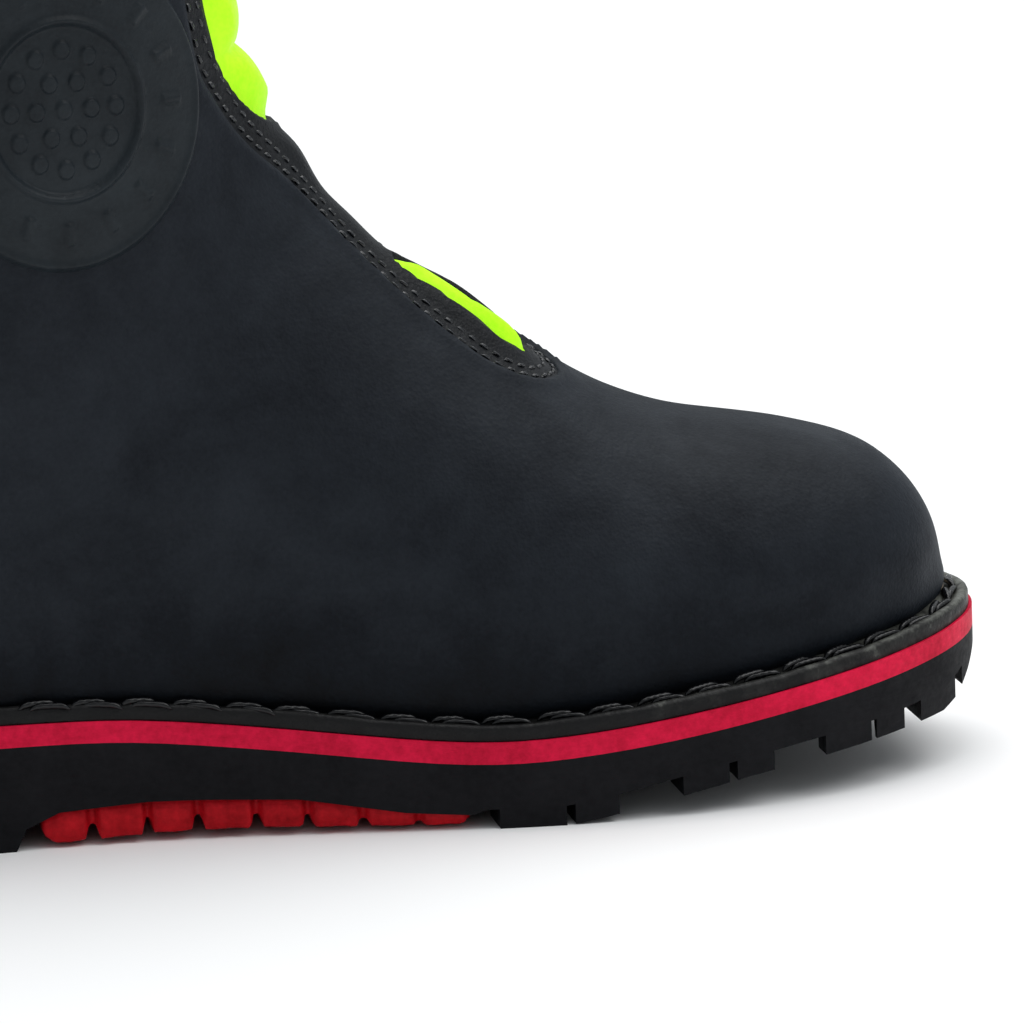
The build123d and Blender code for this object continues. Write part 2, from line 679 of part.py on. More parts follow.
# ---------------------------------------------------------------------------
# Outer leather of the upper
# ---------------------------------------------------------------------------
with BuildPart() as vamp_and_quarters:
    add(LEATHER)
    add(SHAFT_REGION, mode=Mode.SUBTRACT)
    add(GUSSET_CUT, mode=Mode.SUBTRACT)
vamp_and_quarters.part.label = "vamp_and_quarters"
export_step(vamp_and_quarters.part, "parts/vamp_and_quarters.step")

with BuildPart() as shaft_lateral:
    add(LEATHER)
    add(SHAFT_REGION, mode=Mode.INTERSECT)
    add(GUSSET_CUT, mode=Mode.SUBTRACT)
    add(slab((-20, 200), (0, 80), (200, 320)), mode=Mode.SUBTRACT)
shaft_lateral.part.label = "shaft_lateral"
export_step(shaft_lateral.part, "parts/shaft_lateral.step")

with BuildPart() as shaft_medial:
    add(LEATHER)
    add(SHAFT_REGION, mode=Mode.INTERSECT)
    add(GUSSET_CUT, mode=Mode.SUBTRACT)
    add(slab((-20, 200), (-80, 0), (200, 320)), mode=Mode.SUBTRACT)
shaft_medial.part.label = "shaft_medial"
export_step(shaft_medial.part, "parts/shaft_medial.step")

# Soft front gusset with two windows and the ribbed bridge between them.
with BuildPart() as front_gusset:
    add(ribbed(GUSSET_CUT, LEATHER, bridge_blocks))
    add(SHIN_CUT, mode=Mode.SUBTRACT)
    add(INSTEP_CUT, mode=Mode.SUBTRACT)
front_gusset.part.label = "front_gusset"
export_step(front_gusset.part, "parts/front_gusset.step")

with BuildPart() as shin_flex_pad:
    add(ribbed(SHIN_CUT, LEATHER, shin_blocks))
shin_flex_pad.part.label = "shin_flex_pad"
export_step(shin_flex_pad.part, "parts/shin_flex_pad.step")

with BuildPart() as instep_flex_pad:
    add(FORM_BAND)
    add(INSTEP_CUT, mode=Mode.INTERSECT)
    add(FORM_LEATHER, mode=Mode.SUBTRACT)
instep_flex_pad.part.label = "instep_flex_pad"
export_step(instep_flex_pad.part, "parts/instep_flex_pad.step")

with BuildPart() as gusset_stitching:
    for grow in SEAM_ROWS:
        with Locations(*seam_places(grow)):
            Box(*SEAM_STITCH)
gusset_stitching.part.label = "gusset_stitching"
export_step(gusset_stitching.part, "parts/gusset_stitching.step")

# ---------------------------------------------------------------------------
# Overlays sewn to the outer leather
# ---------------------------------------------------------------------------
with BuildPart() as heel_counter_cover:
    add(FORM_OVERLAY)
    add(polygon_side(COUNTER), mode=Mode.INTERSECT)
    add(above(WELT_T, PANEL_TOP_Z), mode=Mode.INTERSECT)
    add(FORM_OUT, mode=Mode.SUBTRACT)
heel_counter_cover.part.label = "heel_counter_cover"
export_step(heel_counter_cover.part, "parts/heel_counter_cover.step")

STAY_BLOCK = slab((-20, 60), (-STAY_HALF_W, STAY_HALF_W), (COUNTER[6][1], PANEL_TOP_Z))
with BuildPart() as back_stay:
    add(FORM_STAY)
    add(STAY_BLOCK, mode=Mode.INTERSECT)
    add(FORM_OUT, mode=Mode.SUBTRACT)
back_stay.part.label = "back_stay"
export_step(back_stay.part, "parts/back_stay.step")

with BuildPart() as reflective_band:
    add(FORM_BAND)
    add(slab((-20, 200), (-80, 80), BAND_Z), mode=Mode.INTERSECT)
    add(FORM_OUT, mode=Mode.SUBTRACT)
    add(STAY_BLOCK, mode=Mode.SUBTRACT)
reflective_band.part.label = "reflective_band"
export_step(reflective_band.part, "parts/reflective_band.step")

with BuildPart() as guard_disc_lateral:
    add(FORM_OVERLAY & disc_prism(-1, True))
    add(FORM_BAND & disc_prism(-1, False))
    add(FORM_OUT, mode=Mode.SUBTRACT)
guard_disc_lateral.part.label = "guard_disc_lateral"
export_step(guard_disc_lateral.part, "parts/guard_disc_lateral.step")

with BuildPart() as guard_disc_medial:
    add(FORM_OVERLAY & disc_prism(1, True))
    add(FORM_BAND & disc_prism(1, False))
    add(FORM_OUT, mode=Mode.SUBTRACT)
guard_disc_medial.part.label = "guard_disc_medial"
export_step(guard_disc_medial.part, "parts/guard_disc_medial.step")

with BuildPart() as collar:
    add(FORM_COLLAR)
    add(slab((-20, 200), (-80, 80), (PANEL_TOP_Z, COLLAR_TOP_Z)), mode=Mode.INTERSECT)
    add(FORM_LINING, mode=Mode.SUBTRACT)
collar.part.label = "collar"
export_step(collar.part, "parts/collar.step")

with BuildPart() as loop_anchor_lateral:
    add(loop_anchor(-1))
loop_anchor_lateral.part.label = "loop_anchor_lateral"
export_step(loop_anchor_lateral.part, "parts/loop_anchor_lateral.step")

with BuildPart() as loop_anchor_medial:
    add(loop_anchor(1))
loop_anchor_medial.part.label = "loop_anchor_medial"
export_step(loop_anchor_medial.part, "parts/loop_anchor_medial.step")

with BuildPart() as pull_loop_lateral:
    add(pull_loop(-1))
pull_loop_lateral.part.label = "pull_loop_lateral"
export_step(pull_loop_lateral.part, "parts/pull_loop_lateral.step")

with BuildPart() as pull_loop_medial:
    add(pull_loop(1))
pull_loop_medial.part.label = "pull_loop_medial"
export_step(pull_loop_medial.part, "parts/pull_loop_medial.step")

# ---------------------------------------------------------------------------
# Hidden layers between the leather and the lining
# ---------------------------------------------------------------------------
with BuildPart() as toe_cap:
    add(MID_LAYER)
    add(slab((TOE_CAP_X, 340), (-80, 80), (0, 120)), mode=Mode.INTERSECT)
toe_cap.part.label = "toe_cap"
export_step(toe_cap.part, "parts/toe_cap.step")

with BuildPart() as toe_cap_cushion:
    add(MID_LAYER)
    add(slab((CUSHION_X, TOE_CAP_X), (-80, 80), (0, 120)), mode=Mode.INTERSECT)
toe_cap_cushion.part.label = "toe_cap_cushion"
export_step(toe_cap_cushion.part, "parts/toe_cap_cushion.step")

with BuildPart() as heel_stiffener:
    add(MID_LAYER)
    add(polygon_side(STIFFENER), mode=Mode.INTERSECT)
heel_stiffener.part.label = "heel_stiffener"
export_step(heel_stiffener.part, "parts/heel_stiffener.step")

with BuildPart() as interlining:
    add(MID_LAYER)
    add(slab((CUSHION_X, 340), (-80, 80), (0, 120)), mode=Mode.SUBTRACT)
    add(polygon_side(STIFFENER), mode=Mode.SUBTRACT)
interlining.part.label = "interlining"
export_step(interlining.part, "parts/interlining.step")

# Lining: closed sock with its own floor on the insole board.
with BuildPart() as lining:
    add(FORM_MID)
    add(INNER_REGION, mode=Mode.INTERSECT)
    add(FORM_LINING & above(INSOLE_TOP + LINING_T, PANEL_TOP_Z + 10), mode=Mode.SUBTRACT)
lining.part.label = "lining"
export_step(lining.part, "parts/lining.step")
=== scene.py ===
import math
import bpy
import numpy as np
from mathutils import Matrix, Vector
from mathutils.bvhtree import BVHTree


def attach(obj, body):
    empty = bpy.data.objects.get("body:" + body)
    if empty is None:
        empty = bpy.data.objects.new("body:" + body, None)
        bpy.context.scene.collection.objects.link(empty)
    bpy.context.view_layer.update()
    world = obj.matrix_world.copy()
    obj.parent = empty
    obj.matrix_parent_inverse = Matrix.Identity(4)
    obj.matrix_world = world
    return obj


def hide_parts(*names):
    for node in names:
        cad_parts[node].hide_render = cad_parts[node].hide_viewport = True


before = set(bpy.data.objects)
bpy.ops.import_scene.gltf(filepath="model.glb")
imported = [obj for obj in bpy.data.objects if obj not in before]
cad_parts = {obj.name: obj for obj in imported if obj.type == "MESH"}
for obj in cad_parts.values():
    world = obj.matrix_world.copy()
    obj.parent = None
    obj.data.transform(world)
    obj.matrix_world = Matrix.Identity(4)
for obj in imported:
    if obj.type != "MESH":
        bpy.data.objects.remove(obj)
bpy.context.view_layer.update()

# ---------------------------------------------------------------------------
# Shape tables, millimetres; X from the back of the heel, floor Z = 0,
# -Y lateral. They are the same numbers that drive the CAD solids.
# ---------------------------------------------------------------------------
MM = 0.001
HALF = 156.0
WELT_T = 3.5

SOLE_LATERAL = [(0, 0), (4, -14), (15, -27), (40, -37), (80, -38.5), (120, -41), (160, -48),
                (195, -54), (220, -55.5), (250, -52), (275, -43.5), (295, -30), (306, -17),
                (311, -5), (312, 6)]
SOLE_MEDIAL = [(0, 0), (4, 14), (15, 27), (40, 36), (70, 36.5), (100, 35), (130, 36.5),
               (160, 43), (190, 52), (215, 55.5), (240, 55), (265, 51), (288, 43),
               (302, 32.5), (309.5, 20), (312, 6)]
FEATHER_LATERAL = [(3, 0), (7, -13), (17, -24), (41, -34), (80, -35), (120, -36.5),
                   (160, -42), (195, -46.5), (220, -47.8), (250, -44.3), (272, -36.8),
                   (289, -26), (299.5, -14), (304, -3), (305, 6)]
FEATHER_MEDIAL = [(3, 0), (7, 13), (17, 24), (41, 33), (70, 33), (100, 31), (130, 32),
                  (160, 37.5), (190, 44.5), (215, 47.7), (240, 47.2), (262, 43.8),
                  (282, 36.8), (296, 27), (303, 16), (305, 6)]
MIDSOLE_TOP = [(-6, 29), (40, 29), (85, 29), (105, 28.5), (125, 26.6), (150, 23.6),
               (175, 20.6), (192, 19.8), (210, 20.8), (240, 24.1), (265, 27.4),
               (290, 30.7), (318, 35)]

ANKLE_PIVOT = (222.0, 200.0)
TOE_PIVOT = (250.0, -30.0)
TOE_RADIUS = 230.0
SHAFT_RINGS = [(326, 145, 5.5, 51.5), (300, 143, 6.5, 51), (270, 140, 9, 50),
               (235, 137.5, 12, 48.5), (200, 138, 15, 47)]
ANKLE_RINGS = [(12, 83, 209, 147, 45.5, 0, 2.1), (24, 83.5, 227, 161, 43, 0.5, 2.1),
               (33, 82.5, 255.5, 183, 41, 1, 2.3), (38, 83, 272, 190, 39.8, 1.5, 2.4)]
INSTEP_RINGS = [(43, 83.5, 288, 60, 2, 2.1, 2.4), (50, 85, 285, 56, 3, 2.05, 2.2),
                (60, 87.5, 250, 40, 4, 2.0, 2.2), (70, 90.5, 230, 25, 5.5, 1.95, 2.2),
                (80, 97.2, 218, 17, 7, 1.95, 2.2), (90, 108.4, 212, 13, 7.5, 2.05, 2.2)]
VAMP_RINGS = [(236, 85.0, 216, 7, 2.2), (250, 81.4, 218, 6.5, 2.35)]
TOE_RINGS = [(12, 110.2, 11, 2.4), (22, 109, 9, 2.4), (30, 102.3, 3, 2.4)]
TIP_RINGS = [(37, 92, -22, 29), (45, 79, -20, 28), (52, 70, -20, 28)]

GUSSET = [(-113, 0), (-110.5, 11), (-103, 20), (-92, 24), (-80, 25.4), (-66, 25.6),
          (-57, 24.5), (-50, 21.9), (-43, 19.4), (-34.5, 16.2), (-25, 12), (-16, 9.8), (-5, 9.4),
          (5, 10), (16, 11.4), (27, 13), (38, 13.8), (46, 12.4), (51.5, 8.4), (54.5, 0)]
SHIN_WINDOW = [(-104, 0), (-102, 11), (-96, 17.2), (-87, 19.4), (-76, 20.2), (-62, 20.2),
               (-53, 18.4), (-43, 13.8), (-36, 7.8), (-33, 0)]
INSTEP_WINDOW = [(9, 0), (12.5, 3), (19, 4.1), (27, 4.7), (35, 5.1), (41, 4.8), (45, 3.2),
                 (47, 0)]
GUSSET_ORIGIN = (170.0, 130.0)
GUSSET_MARGIN = 1.2
SHIN_CREASE_Z, SHIN_CREASE_PITCH = 157.0, 18.5
BRIDGE_RISE = [(-60, 0.0), (-40, 0.0), (-33.5, 0.0), (-24, 1.3), (-13, -0.1), (-3, 0.4), (8, 0.1),
               (16, 1.0), (24, 1.9), (34, 1.5), (44, 0.6), (52, 0.0), (80, 0.0)]
COUNTER = [(76, 20), (75, 44), (69, 64), (57, 84), (42, 98), (25, 108), (0, 112), (-20, 112),
           (-20, 20)]

SHAFT_SEAM_Z = 215.0
PANEL_TOP_Z = 290.0
BAND_Z = (261.0, 283.0)
STAY_HALF_W = 11.0
STAY_BOTTOM_Z = 112.0
DISC_X, DISC_Z = 98.7, 167.3
DISC_SQUASH = 0.88
DISC_RINGS = (36.5, 34.3, 21.2, 18.9)
DISC_BARS = 16
DISC_BAR_R = 27.8
DISC_BUMP_RINGS = [(0.0, 1), (7.0, 6), (13.4, 12)]
LOOP_X, LOOP_Y, LOOP_HALF_W, LOOP_STRAP_W, LOOP_T, LOOP_RISE = 75.0, 52.3, 24.0, 11.0, 2.4, 26.0
ANCHOR_Z = (285.0, 309.0)
ANCHOR_HALF_W = 26.5
ANCHOR_LIFT = [(285, 1.7), (288, 2.2), (291.5, 3.2), (295, 3.9), (304, 3.7), (309, 2.6)]

GRIP_BAR_X, GRIP_PITCH = 87.0, 12.1
GRIP_SPAN = (86.2, 181.8)
GRIP_FACE = [(84, 0.5), (92, 0.7), (112, 1.5), (135, 1.6), (160, 0.8), (184, 0.3)]
WAIST_EDGE = [(82.5, 5), (90, 8.3), (110, 9.5), (122, 9.3), (144, 8.4), (167, 4.5), (182, 3.4)]

COLUMNS = 208
GRID_SMOOTHING = 24
RNG = np.random.default_rng(7)


# -------- Reading the tables --------
def hermite(xs, ys, x):
    """Cubic through table points, slopes from the neighbours; works on arrays."""
    xs, ys = np.asarray(xs, float), np.asarray(ys, float)
    x = np.asarray(x, float)
    last = len(xs) - 1
    k = np.clip(np.searchsorted(xs, x, side="right") - 1, 0, last - 1)
    low, high = np.maximum(np.arange(last + 1) - 1, 0), np.minimum(np.arange(last + 1) + 1, last)
    slope = (ys[high] - ys[low]) / (xs[high] - xs[low])
    width = xs[k + 1] - xs[k]
    t = (x - xs[k]) / width
    return (ys[k] * (1 + 2 * t) * (1 - t) ** 2 + slope[k] * width * t * (1 - t) ** 2
            + ys[k + 1] * t * t * (3 - 2 * t) - slope[k + 1] * width * t * t * (1 - t))


def midsole_z(x):
    table = np.array(MIDSOLE_TOP)
    return hermite(table[:, 0], table[:, 1], x)


def feather_z(x):
    return midsole_z(x) + WELT_T


def straight(table, x):
    table = np.array(table, float)
    return np.interp(x, table[:, 0], table[:, 1])


def smoothstep(a, b, v):
    t = np.clip((np.asarray(v, float) - a) / (b - a), 0, 1)
    return t * t * (3 - 2 * t)


def closed_curve(points, per_piece=14):
    """Smooth closed curve through points (centripetal-like Catmull-Rom)."""
    p = np.asarray(points, float)
    out = []
    for k in range(len(p)):
        a, b, c, d = p[k - 1], p[k], p[(k + 1) % len(p)], p[(k + 2) % len(p)]
        span = np.linalg.norm(c - b)
        m0 = (c - a) * span / (np.linalg.norm(b - a) + span)
        m1 = (d - b) * span / (np.linalg.norm(d - c) + span)
        for t in np.arange(per_piece) / per_piece:
            out.append(b * (1 + 2 * t) * (1 - t) ** 2 + m0 * t * (1 - t) ** 2
                       + c * t * t * (3 - 2 * t) - m1 * t * t * (1 - t))
    return np.array(out)


def even_steps(curve, pitch, closed=True):
    """Points, unit tangents and arc lengths at even steps along a polyline."""
    loop = np.vstack([curve, curve[:1]]) if closed else curve
    seg = np.linalg.norm(np.diff(loop, axis=0), axis=1)
    length = np.concatenate([[0], np.cumsum(seg)])
    count = max(3, int(round(length[-1] / pitch)))
    at = np.arange(count) / count * length[-1] if closed else np.linspace(0, length[-1], count)
    spots = np.column_stack([np.interp(at, length, loop[:, i]) for i in range(loop.shape[1])])
    ahead = np.column_stack([np.interp((at + 0.5) % length[-1] if closed else
                                       np.minimum(at + 0.5, length[-1]), length, loop[:, i])
                             for i in range(loop.shape[1])])
    behind = np.column_stack([np.interp((at - 0.5) % length[-1] if closed else
                                        np.maximum(at - 0.5, 0), length, loop[:, i])
                              for i in range(loop.shape[1])])
    tangent = ahead - behind
    tangent /= np.linalg.norm(tangent, axis=1)[:, None]
    return spots, tangent, at


def inset(points, distance):
    """Closed counter-clockwise ring moved inward by a distance."""
    p = np.asarray(points, float)
    along = np.roll(p, -1, axis=0) - np.roll(p, 1, axis=0)
    along /= np.linalg.norm(along, axis=1)[:, None]
    return p + np.column_stack([-along[:, 1], along[:, 0]]) * distance


def lattice(rows, columns, wrap_rows=False, wrap_columns=True, flip=False, first=0):
    """Four-sided faces between rows of points that lie one row after another."""
    faces = []
    for i in range(rows if wrap_rows else rows - 1):
        for j in range(columns if wrap_columns else columns - 1):
            a, b = i * columns, (i + 1) % rows * columns
            k = (j + 1) % columns
            face = (first + a + j, first + a + k, first + b + k, first + b + j)
            faces.append(face[::-1] if flip else face)
    return faces


def sole_ring(lateral, medial):
    return closed_curve(list(lateral) + list(medial[-2:0:-1]))


# -------- Surface of the upper: sections fanned round the ankle and the toe --------
def placement(fan, station):
    """Pivot (x, z) and angle in degrees of one section of a fan."""
    if fan == "shaft":
        return (ANKLE_PIVOT[0], station), 0.0
    if fan == "ankle":
        return ANKLE_PIVOT, station
    if fan == "vamp":
        return (station, ANKLE_PIVOT[1]), 90.0
    tilt = math.radians(station)
    return (TOE_PIVOT[0] + TOE_RADIUS * math.sin(tilt),
            TOE_PIVOT[1] + TOE_RADIUS * math.cos(tilt)), 90.0 - station


def fit_width(fan, station, front, back, rise, ridge, n_front, n_back):
    """Section row whose half-widths meet the feather line where the section reaches it."""
    (x0, z0), angle = placement(fan, station)
    ux, uz = -math.cos(math.radians(angle)), -math.sin(math.radians(angle))
    reach = 170.0
    for _ in range(40):
        reach = (float(straight(MIDSOLE_TOP, x0 + ux * reach)) + WELT_T - z0) / uz
    x = x0 + ux * reach
    widest = reach - rise
    share = (1 - ((reach - widest) / (back - widest)) ** n_back) ** (1 / n_back)
    return (station, front, back, widest, float(straight(FEATHER_LATERAL, x)) / share,
            float(straight(FEATHER_MEDIAL, x)) / share, ridge, n_front, n_back)


def upper_rows():
    """All section tables of the upper, one array for each fan."""
    x0 = ANKLE_PIVOT[0]
    shaft = [(z, x0 - front, x0 - back, x0 - (front + back) / 2, -half, half, 0, 2.1, 2.1)
             for z, front, back, half in SHAFT_RINGS]
    ankle = [(0,) + shaft[-1][1:]]
    ankle += [(angle, front, back, widest, -half, half, ridge, 2.1, n_back)
              for angle, front, back, widest, half, ridge, n_back in ANKLE_RINGS]
    ankle += [fit_width("ankle", *row) for row in INSTEP_RINGS]
    vamp = [(x0,) + ankle[-1][1:]]
    vamp += [fit_width("vamp", x, 200 - top, back, 12, ridge, n_front, 2.2)
             for x, top, back, ridge, n_front in VAMP_RINGS]
    toe = [(0,) + vamp[-1][1:]]
    toe += [fit_width("toe", angle, TOE_RADIUS - top, TOE_RADIUS - 12, rise, 6, n_front, 2.2)
            for angle, top, rise, n_front in TOE_RINGS]
    toe += [(angle, TOE_RADIUS - top, TOE_RADIUS - 12, TOE_RADIUS - top + 42, lateral, medial,
             6, 2.3, 2.2) for angle, top, lateral, medial in TIP_RINGS]
    return {"shaft": np.array(shaft[::-1], float), "ankle": np.array(ankle, float),
            "vamp": np.array(vamp, float), "toe": np.array(toe, float)}


ROWS = upper_rows()


def ring(fan, station, turns, offset=0.0):
    """Points of one section; turn 0 is the front, positive turns run up the medial side."""
    rows = ROWS[fan]
    front, back, widest, lateral, medial, ridge, n_front, n_back = (
        float(hermite(rows[:, 0], rows[:, c], station)) for c in range(1, 9))
    front, back = front - offset, back + offset
    turns = np.asarray(turns, float)
    along, across = np.abs(np.cos(turns)), np.abs(np.sin(turns))
    half = np.where(np.sin(turns) >= 0, medial + offset, lateral - offset)
    ahead = np.cos(turns) > 0
    s = np.where(ahead, widest - (widest - front) * along ** (2 / n_front),
                 widest + (back - widest) * along ** (2 / n_back))
    y = np.where(ahead, ridge + (half - ridge) * across ** (2 / n_front),
                 half * across ** (2 / n_back))
    (x0, z0), angle = placement(fan, station)
    return np.column_stack([x0 - math.cos(math.radians(angle)) * s, y,
                            z0 - math.sin(math.radians(angle)) * s])


TURNS = np.arange(COLUMNS) * 2 * math.pi / COLUMNS
STATIONS = ([("shaft", z) for z in np.arange(316, 200, -2.0)]
            + [("ankle", a) for a in np.arange(0, 90, 1.0)]
            + [("vamp", x) for x in np.arange(222, 250, 1.75)]
            + [("toe", a) for a in np.arange(0, 52.5, 0.75)])
GRID = np.array([ring(fan, station, TURNS) for fan, station in STATIONS])
for _ in range(GRID_SMOOTHING):
    GRID[1:-1] = GRID[1:-1] * 0.5 + (GRID[:-2] + GRID[2:]) * 0.25


def grid_normals(grid):
    down = np.gradient(grid, axis=0)
    around = np.roll(grid, -1, axis=1) - np.roll(grid, 1, axis=1)
    normal = np.cross(around, down)
    return normal / np.maximum(np.linalg.norm(normal, axis=2), 1e-9)[:, :, None]


NORMALS = grid_normals(GRID)
if NORMALS[20, 0, 0] < 0:
    NORMALS = -NORMALS
P0 = GRID.reshape(-1, 3)
N0 = NORMALS.reshape(-1, 3)
QUADS = lattice(len(STATIONS), COLUMNS)
BASE_TREE = BVHTree.FromPolygons([tuple(p) for p in P0], QUADS)


# -------- Fields on the surface --------
ROOT_HALF = math.sqrt(0.5)
RAY_START, FRONT_RAY_START = 200.0, 140.0
FAR_FROM_FRONT = 60.0
TINY = 1e-9


def gusset_coords(points):
    """Along, across and out of the plane that leans back over the instep."""
    dx, dz = points[:, 0] - GUSSET_ORIGIN[0], points[:, 2] - GUSSET_ORIGIN[1]
    return (dx - dz) * ROOT_HALF, points[:, 1], (dx + dz) * ROOT_HALF


def gusset_centre(t):
    """The gusset's centre line drifts to the lateral side towards the toe."""
    return -4.0 * np.clip((np.asarray(t, float) + 30) / 80, 0, 1)


def gusset_outline(table):
    left = [(t, gusset_centre(t) - w) for t, w in table]
    right = [(t, gusset_centre(t) + w) for t, w in table[-2:0:-1]]
    return closed_curve(left + right)


OUTLINES = {"gusset": gusset_outline(GUSSET), "shin": gusset_outline(SHIN_WINDOW),
            "instep": gusset_outline(INSTEP_WINDOW)}


def depth_inside(q, outline):
    """Distance of flat points from a closed outline, positive inside it."""
    best, inside = np.full(len(q), 1e9), np.zeros(len(q), bool)
    for p0, p1 in zip(outline, np.roll(outline, -1, axis=0)):
        edge = p1 - p0
        u = np.clip(((q - p0) @ edge) / max(edge @ edge, TINY), 0, 1)
        best = np.minimum(best, np.hypot(*(q - p0 - u[:, None] * edge).T))
        crosses = (p0[1] > q[:, 1]) != (p1[1] > q[:, 1])
        rise = edge[1] if abs(edge[1]) > TINY else TINY
        inside ^= crosses & (q[:, 0] < p0[0] + (q[:, 1] - p0[1]) / rise * edge[0])
    return np.where(inside, best, -best)


def outline_distance(points, outline):
    """Distance from an outline on the instep plane, positive outside it."""
    t, y, n = gusset_coords(points)
    result = np.full(len(points), FAR_FROM_FRONT)
    near = np.nonzero((n > -16) & (np.abs(y) < 44) & (t > -135) & (t < 75)
                      & (points[:, 0] > 90))[0]
    result[near] = -depth_inside(np.column_stack([t[near], y[near]]), outline)
    return result


def ripple(points, wavelength, seed):
    """Smooth irregular waves, about -1 to 1, the same on every run."""
    rng = np.random.default_rng(seed)
    total = np.zeros(len(points))
    for _ in range(7):
        direction = rng.normal(size=3)
        direction /= np.linalg.norm(direction)
        k = 2 * math.pi / (wavelength * rng.uniform(0.7, 1.5))
        total += np.sin(points @ direction * k + rng.uniform(0, 6.28))
    return total / 3.2


def height_above_feather(points):
    return points[:, 2] - feather_z(points[:, 0])


D_GUSSET = outline_distance(P0, OUTLINES["gusset"]) - GUSSET_MARGIN
D_SHIN = outline_distance(P0, OUTLINES["shin"])
D_INSTEP = outline_distance(P0, OUTLINES["instep"])
RIPPLE = ripple(P0, 46.0, 11)
FINE_RIPPLE = ripple(P0, 15.0, 12)


# -------- Mesh helpers --------
def to_scene(points):
    """Table millimetres to scene metres, with the boot centred on X."""
    p = np.asarray(points, float) * MM
    p[:, 0] -= HALF * MM
    return p


def mesh_object(name, points, faces, material):
    mesh = bpy.data.meshes.new(name)
    mesh.from_pydata([tuple(p) for p in to_scene(points)], [], [tuple(f) for f in faces])
    mesh.validate()
    mesh.polygons.foreach_set("use_smooth", [True] * len(mesh.polygons))
    obj = bpy.data.objects.new(name, mesh)
    bpy.context.scene.collection.objects.link(obj)
    mesh.materials.append(material)
    return obj


def clip(points, faces, columns, key):
    """Keep the part of a mesh where one value column is positive, cutting faces cleanly."""
    values = columns[key]
    points, columns = list(points), {k: list(v) for k, v in columns.items()}
    keep, cut = [], {}

    def crossing(i, j):
        edge = (min(i, j), max(i, j))
        if edge not in cut:
            share = values[i] / (values[i] - values[j])
            cut[edge] = len(points)
            points.append(points[i] * (1 - share) + points[j] * share)
            for k, v in columns.items():
                v.append(v[i] * (1 - share) + v[j] * share)
        return cut[edge]

    for face in faces:
        signs = [values[i] >= 0 for i in face]
        if all(signs):
            keep.append(tuple(face))
        elif any(signs):
            ring_ids = []
            for i, j in zip(face, face[1:] + face[:1]):
                if values[i] >= 0:
                    ring_ids.append(i)
                if (values[i] >= 0) != (values[j] >= 0):
                    ring_ids.append(crossing(i, j))
            if len(ring_ids) > 2:
                keep.append(tuple(ring_ids))
    return np.array(points), keep, {k: np.array(v) for k, v in columns.items()}


def compact(points, faces, columns):
    """Drop the points that no face uses."""
    used = sorted({i for f in faces for i in f})
    where = {old: new for new, old in enumerate(used)}
    return (points[used], [tuple(where[i] for i in f) for f in faces],
            {k: v[used] for k, v in columns.items()})


CLIP_REACH = 8.0


def surface_piece(name, material, keep, height, thickness):
    """Sheet cut from the upper's surface: fields to keep positive, a height, a thickness."""
    columns = {"nx": N0[:, 0], "ny": N0[:, 1], "nz": N0[:, 2], "gusset": D_GUSSET,
               "shin": D_SHIN, "instep": D_INSTEP, "ripple": RIPPLE, "fine": FINE_RIPPLE}
    columns.update(keep)
    near = next(iter(keep.values())) > -CLIP_REACH
    points, faces = P0, [f for f in QUADS if near[f[0]] or near[f[2]]]
    for key in keep:
        points, faces, columns = clip(points, faces, columns, key)
    points, faces, columns = compact(points, faces, columns)
    normal = np.column_stack([columns["nx"], columns["ny"], columns["nz"]])
    normal /= np.linalg.norm(normal, axis=1)[:, None]
    lift = height(points, columns)[:, None]
    return thick_mesh(name, points + normal * lift, points + normal * (lift - thickness),
                      faces, material)


def thick_mesh(name, outer, inner, faces, material):
    """Closed solid from an outer and an inner copy of the same faces."""
    count = len(outer)
    edges = {}
    for f in faces:
        for i, j in zip(f, f[1:] + f[:1]):
            edges[(i, j)] = edges.get((i, j), 0) + 1
    rim = [(i, j) for (i, j) in edges if (j, i) not in edges]
    all_faces = [tuple(f) for f in faces] + [tuple(i + count for i in reversed(f)) for f in faces]
    all_faces += [(j, i, i + count, j + count) for i, j in rim]
    return mesh_object(name, np.vstack([outer, inner]), all_faces, material)


def hit(origin, direction):
    """First point of the base surface on a ray, and the normal facing the ray."""
    spot, normal, _, _ = BASE_TREE.ray_cast(Vector(origin), Vector(direction))
    if spot is None:
        return None, None
    normal = np.array(normal)
    if normal @ np.array(direction) > 0:
        normal = -normal
    return np.array(spot), normal


def front_hit(t, y):
    """Point of the base surface seen along the instep plane's normal."""
    x = GUSSET_ORIGIN[0] + (FRONT_RAY_START + t) * ROOT_HALF
    z = GUSSET_ORIGIN[1] + (FRONT_RAY_START - t) * ROOT_HALF
    return hit((x, y, z), (-ROOT_HALF, 0, -ROOT_HALF))


def side_hit(x, z, side):
    """Point of the base surface seen square on from one side of the boot."""
    return hit((x, side * RAY_START, z), (0, -side, 0))


def lifted(hits, heights):
    """Spots lifted off the surface and the normals there, leaving out rays that missed."""
    heights = np.broadcast_to(heights, len(hits))
    found = [(*one, height) for one, height in zip(hits, heights) if one[0] is not None]
    normals = np.array([normal for _, normal, _ in found])
    return np.array([spot + normal * height for spot, normal, height in found]), normals


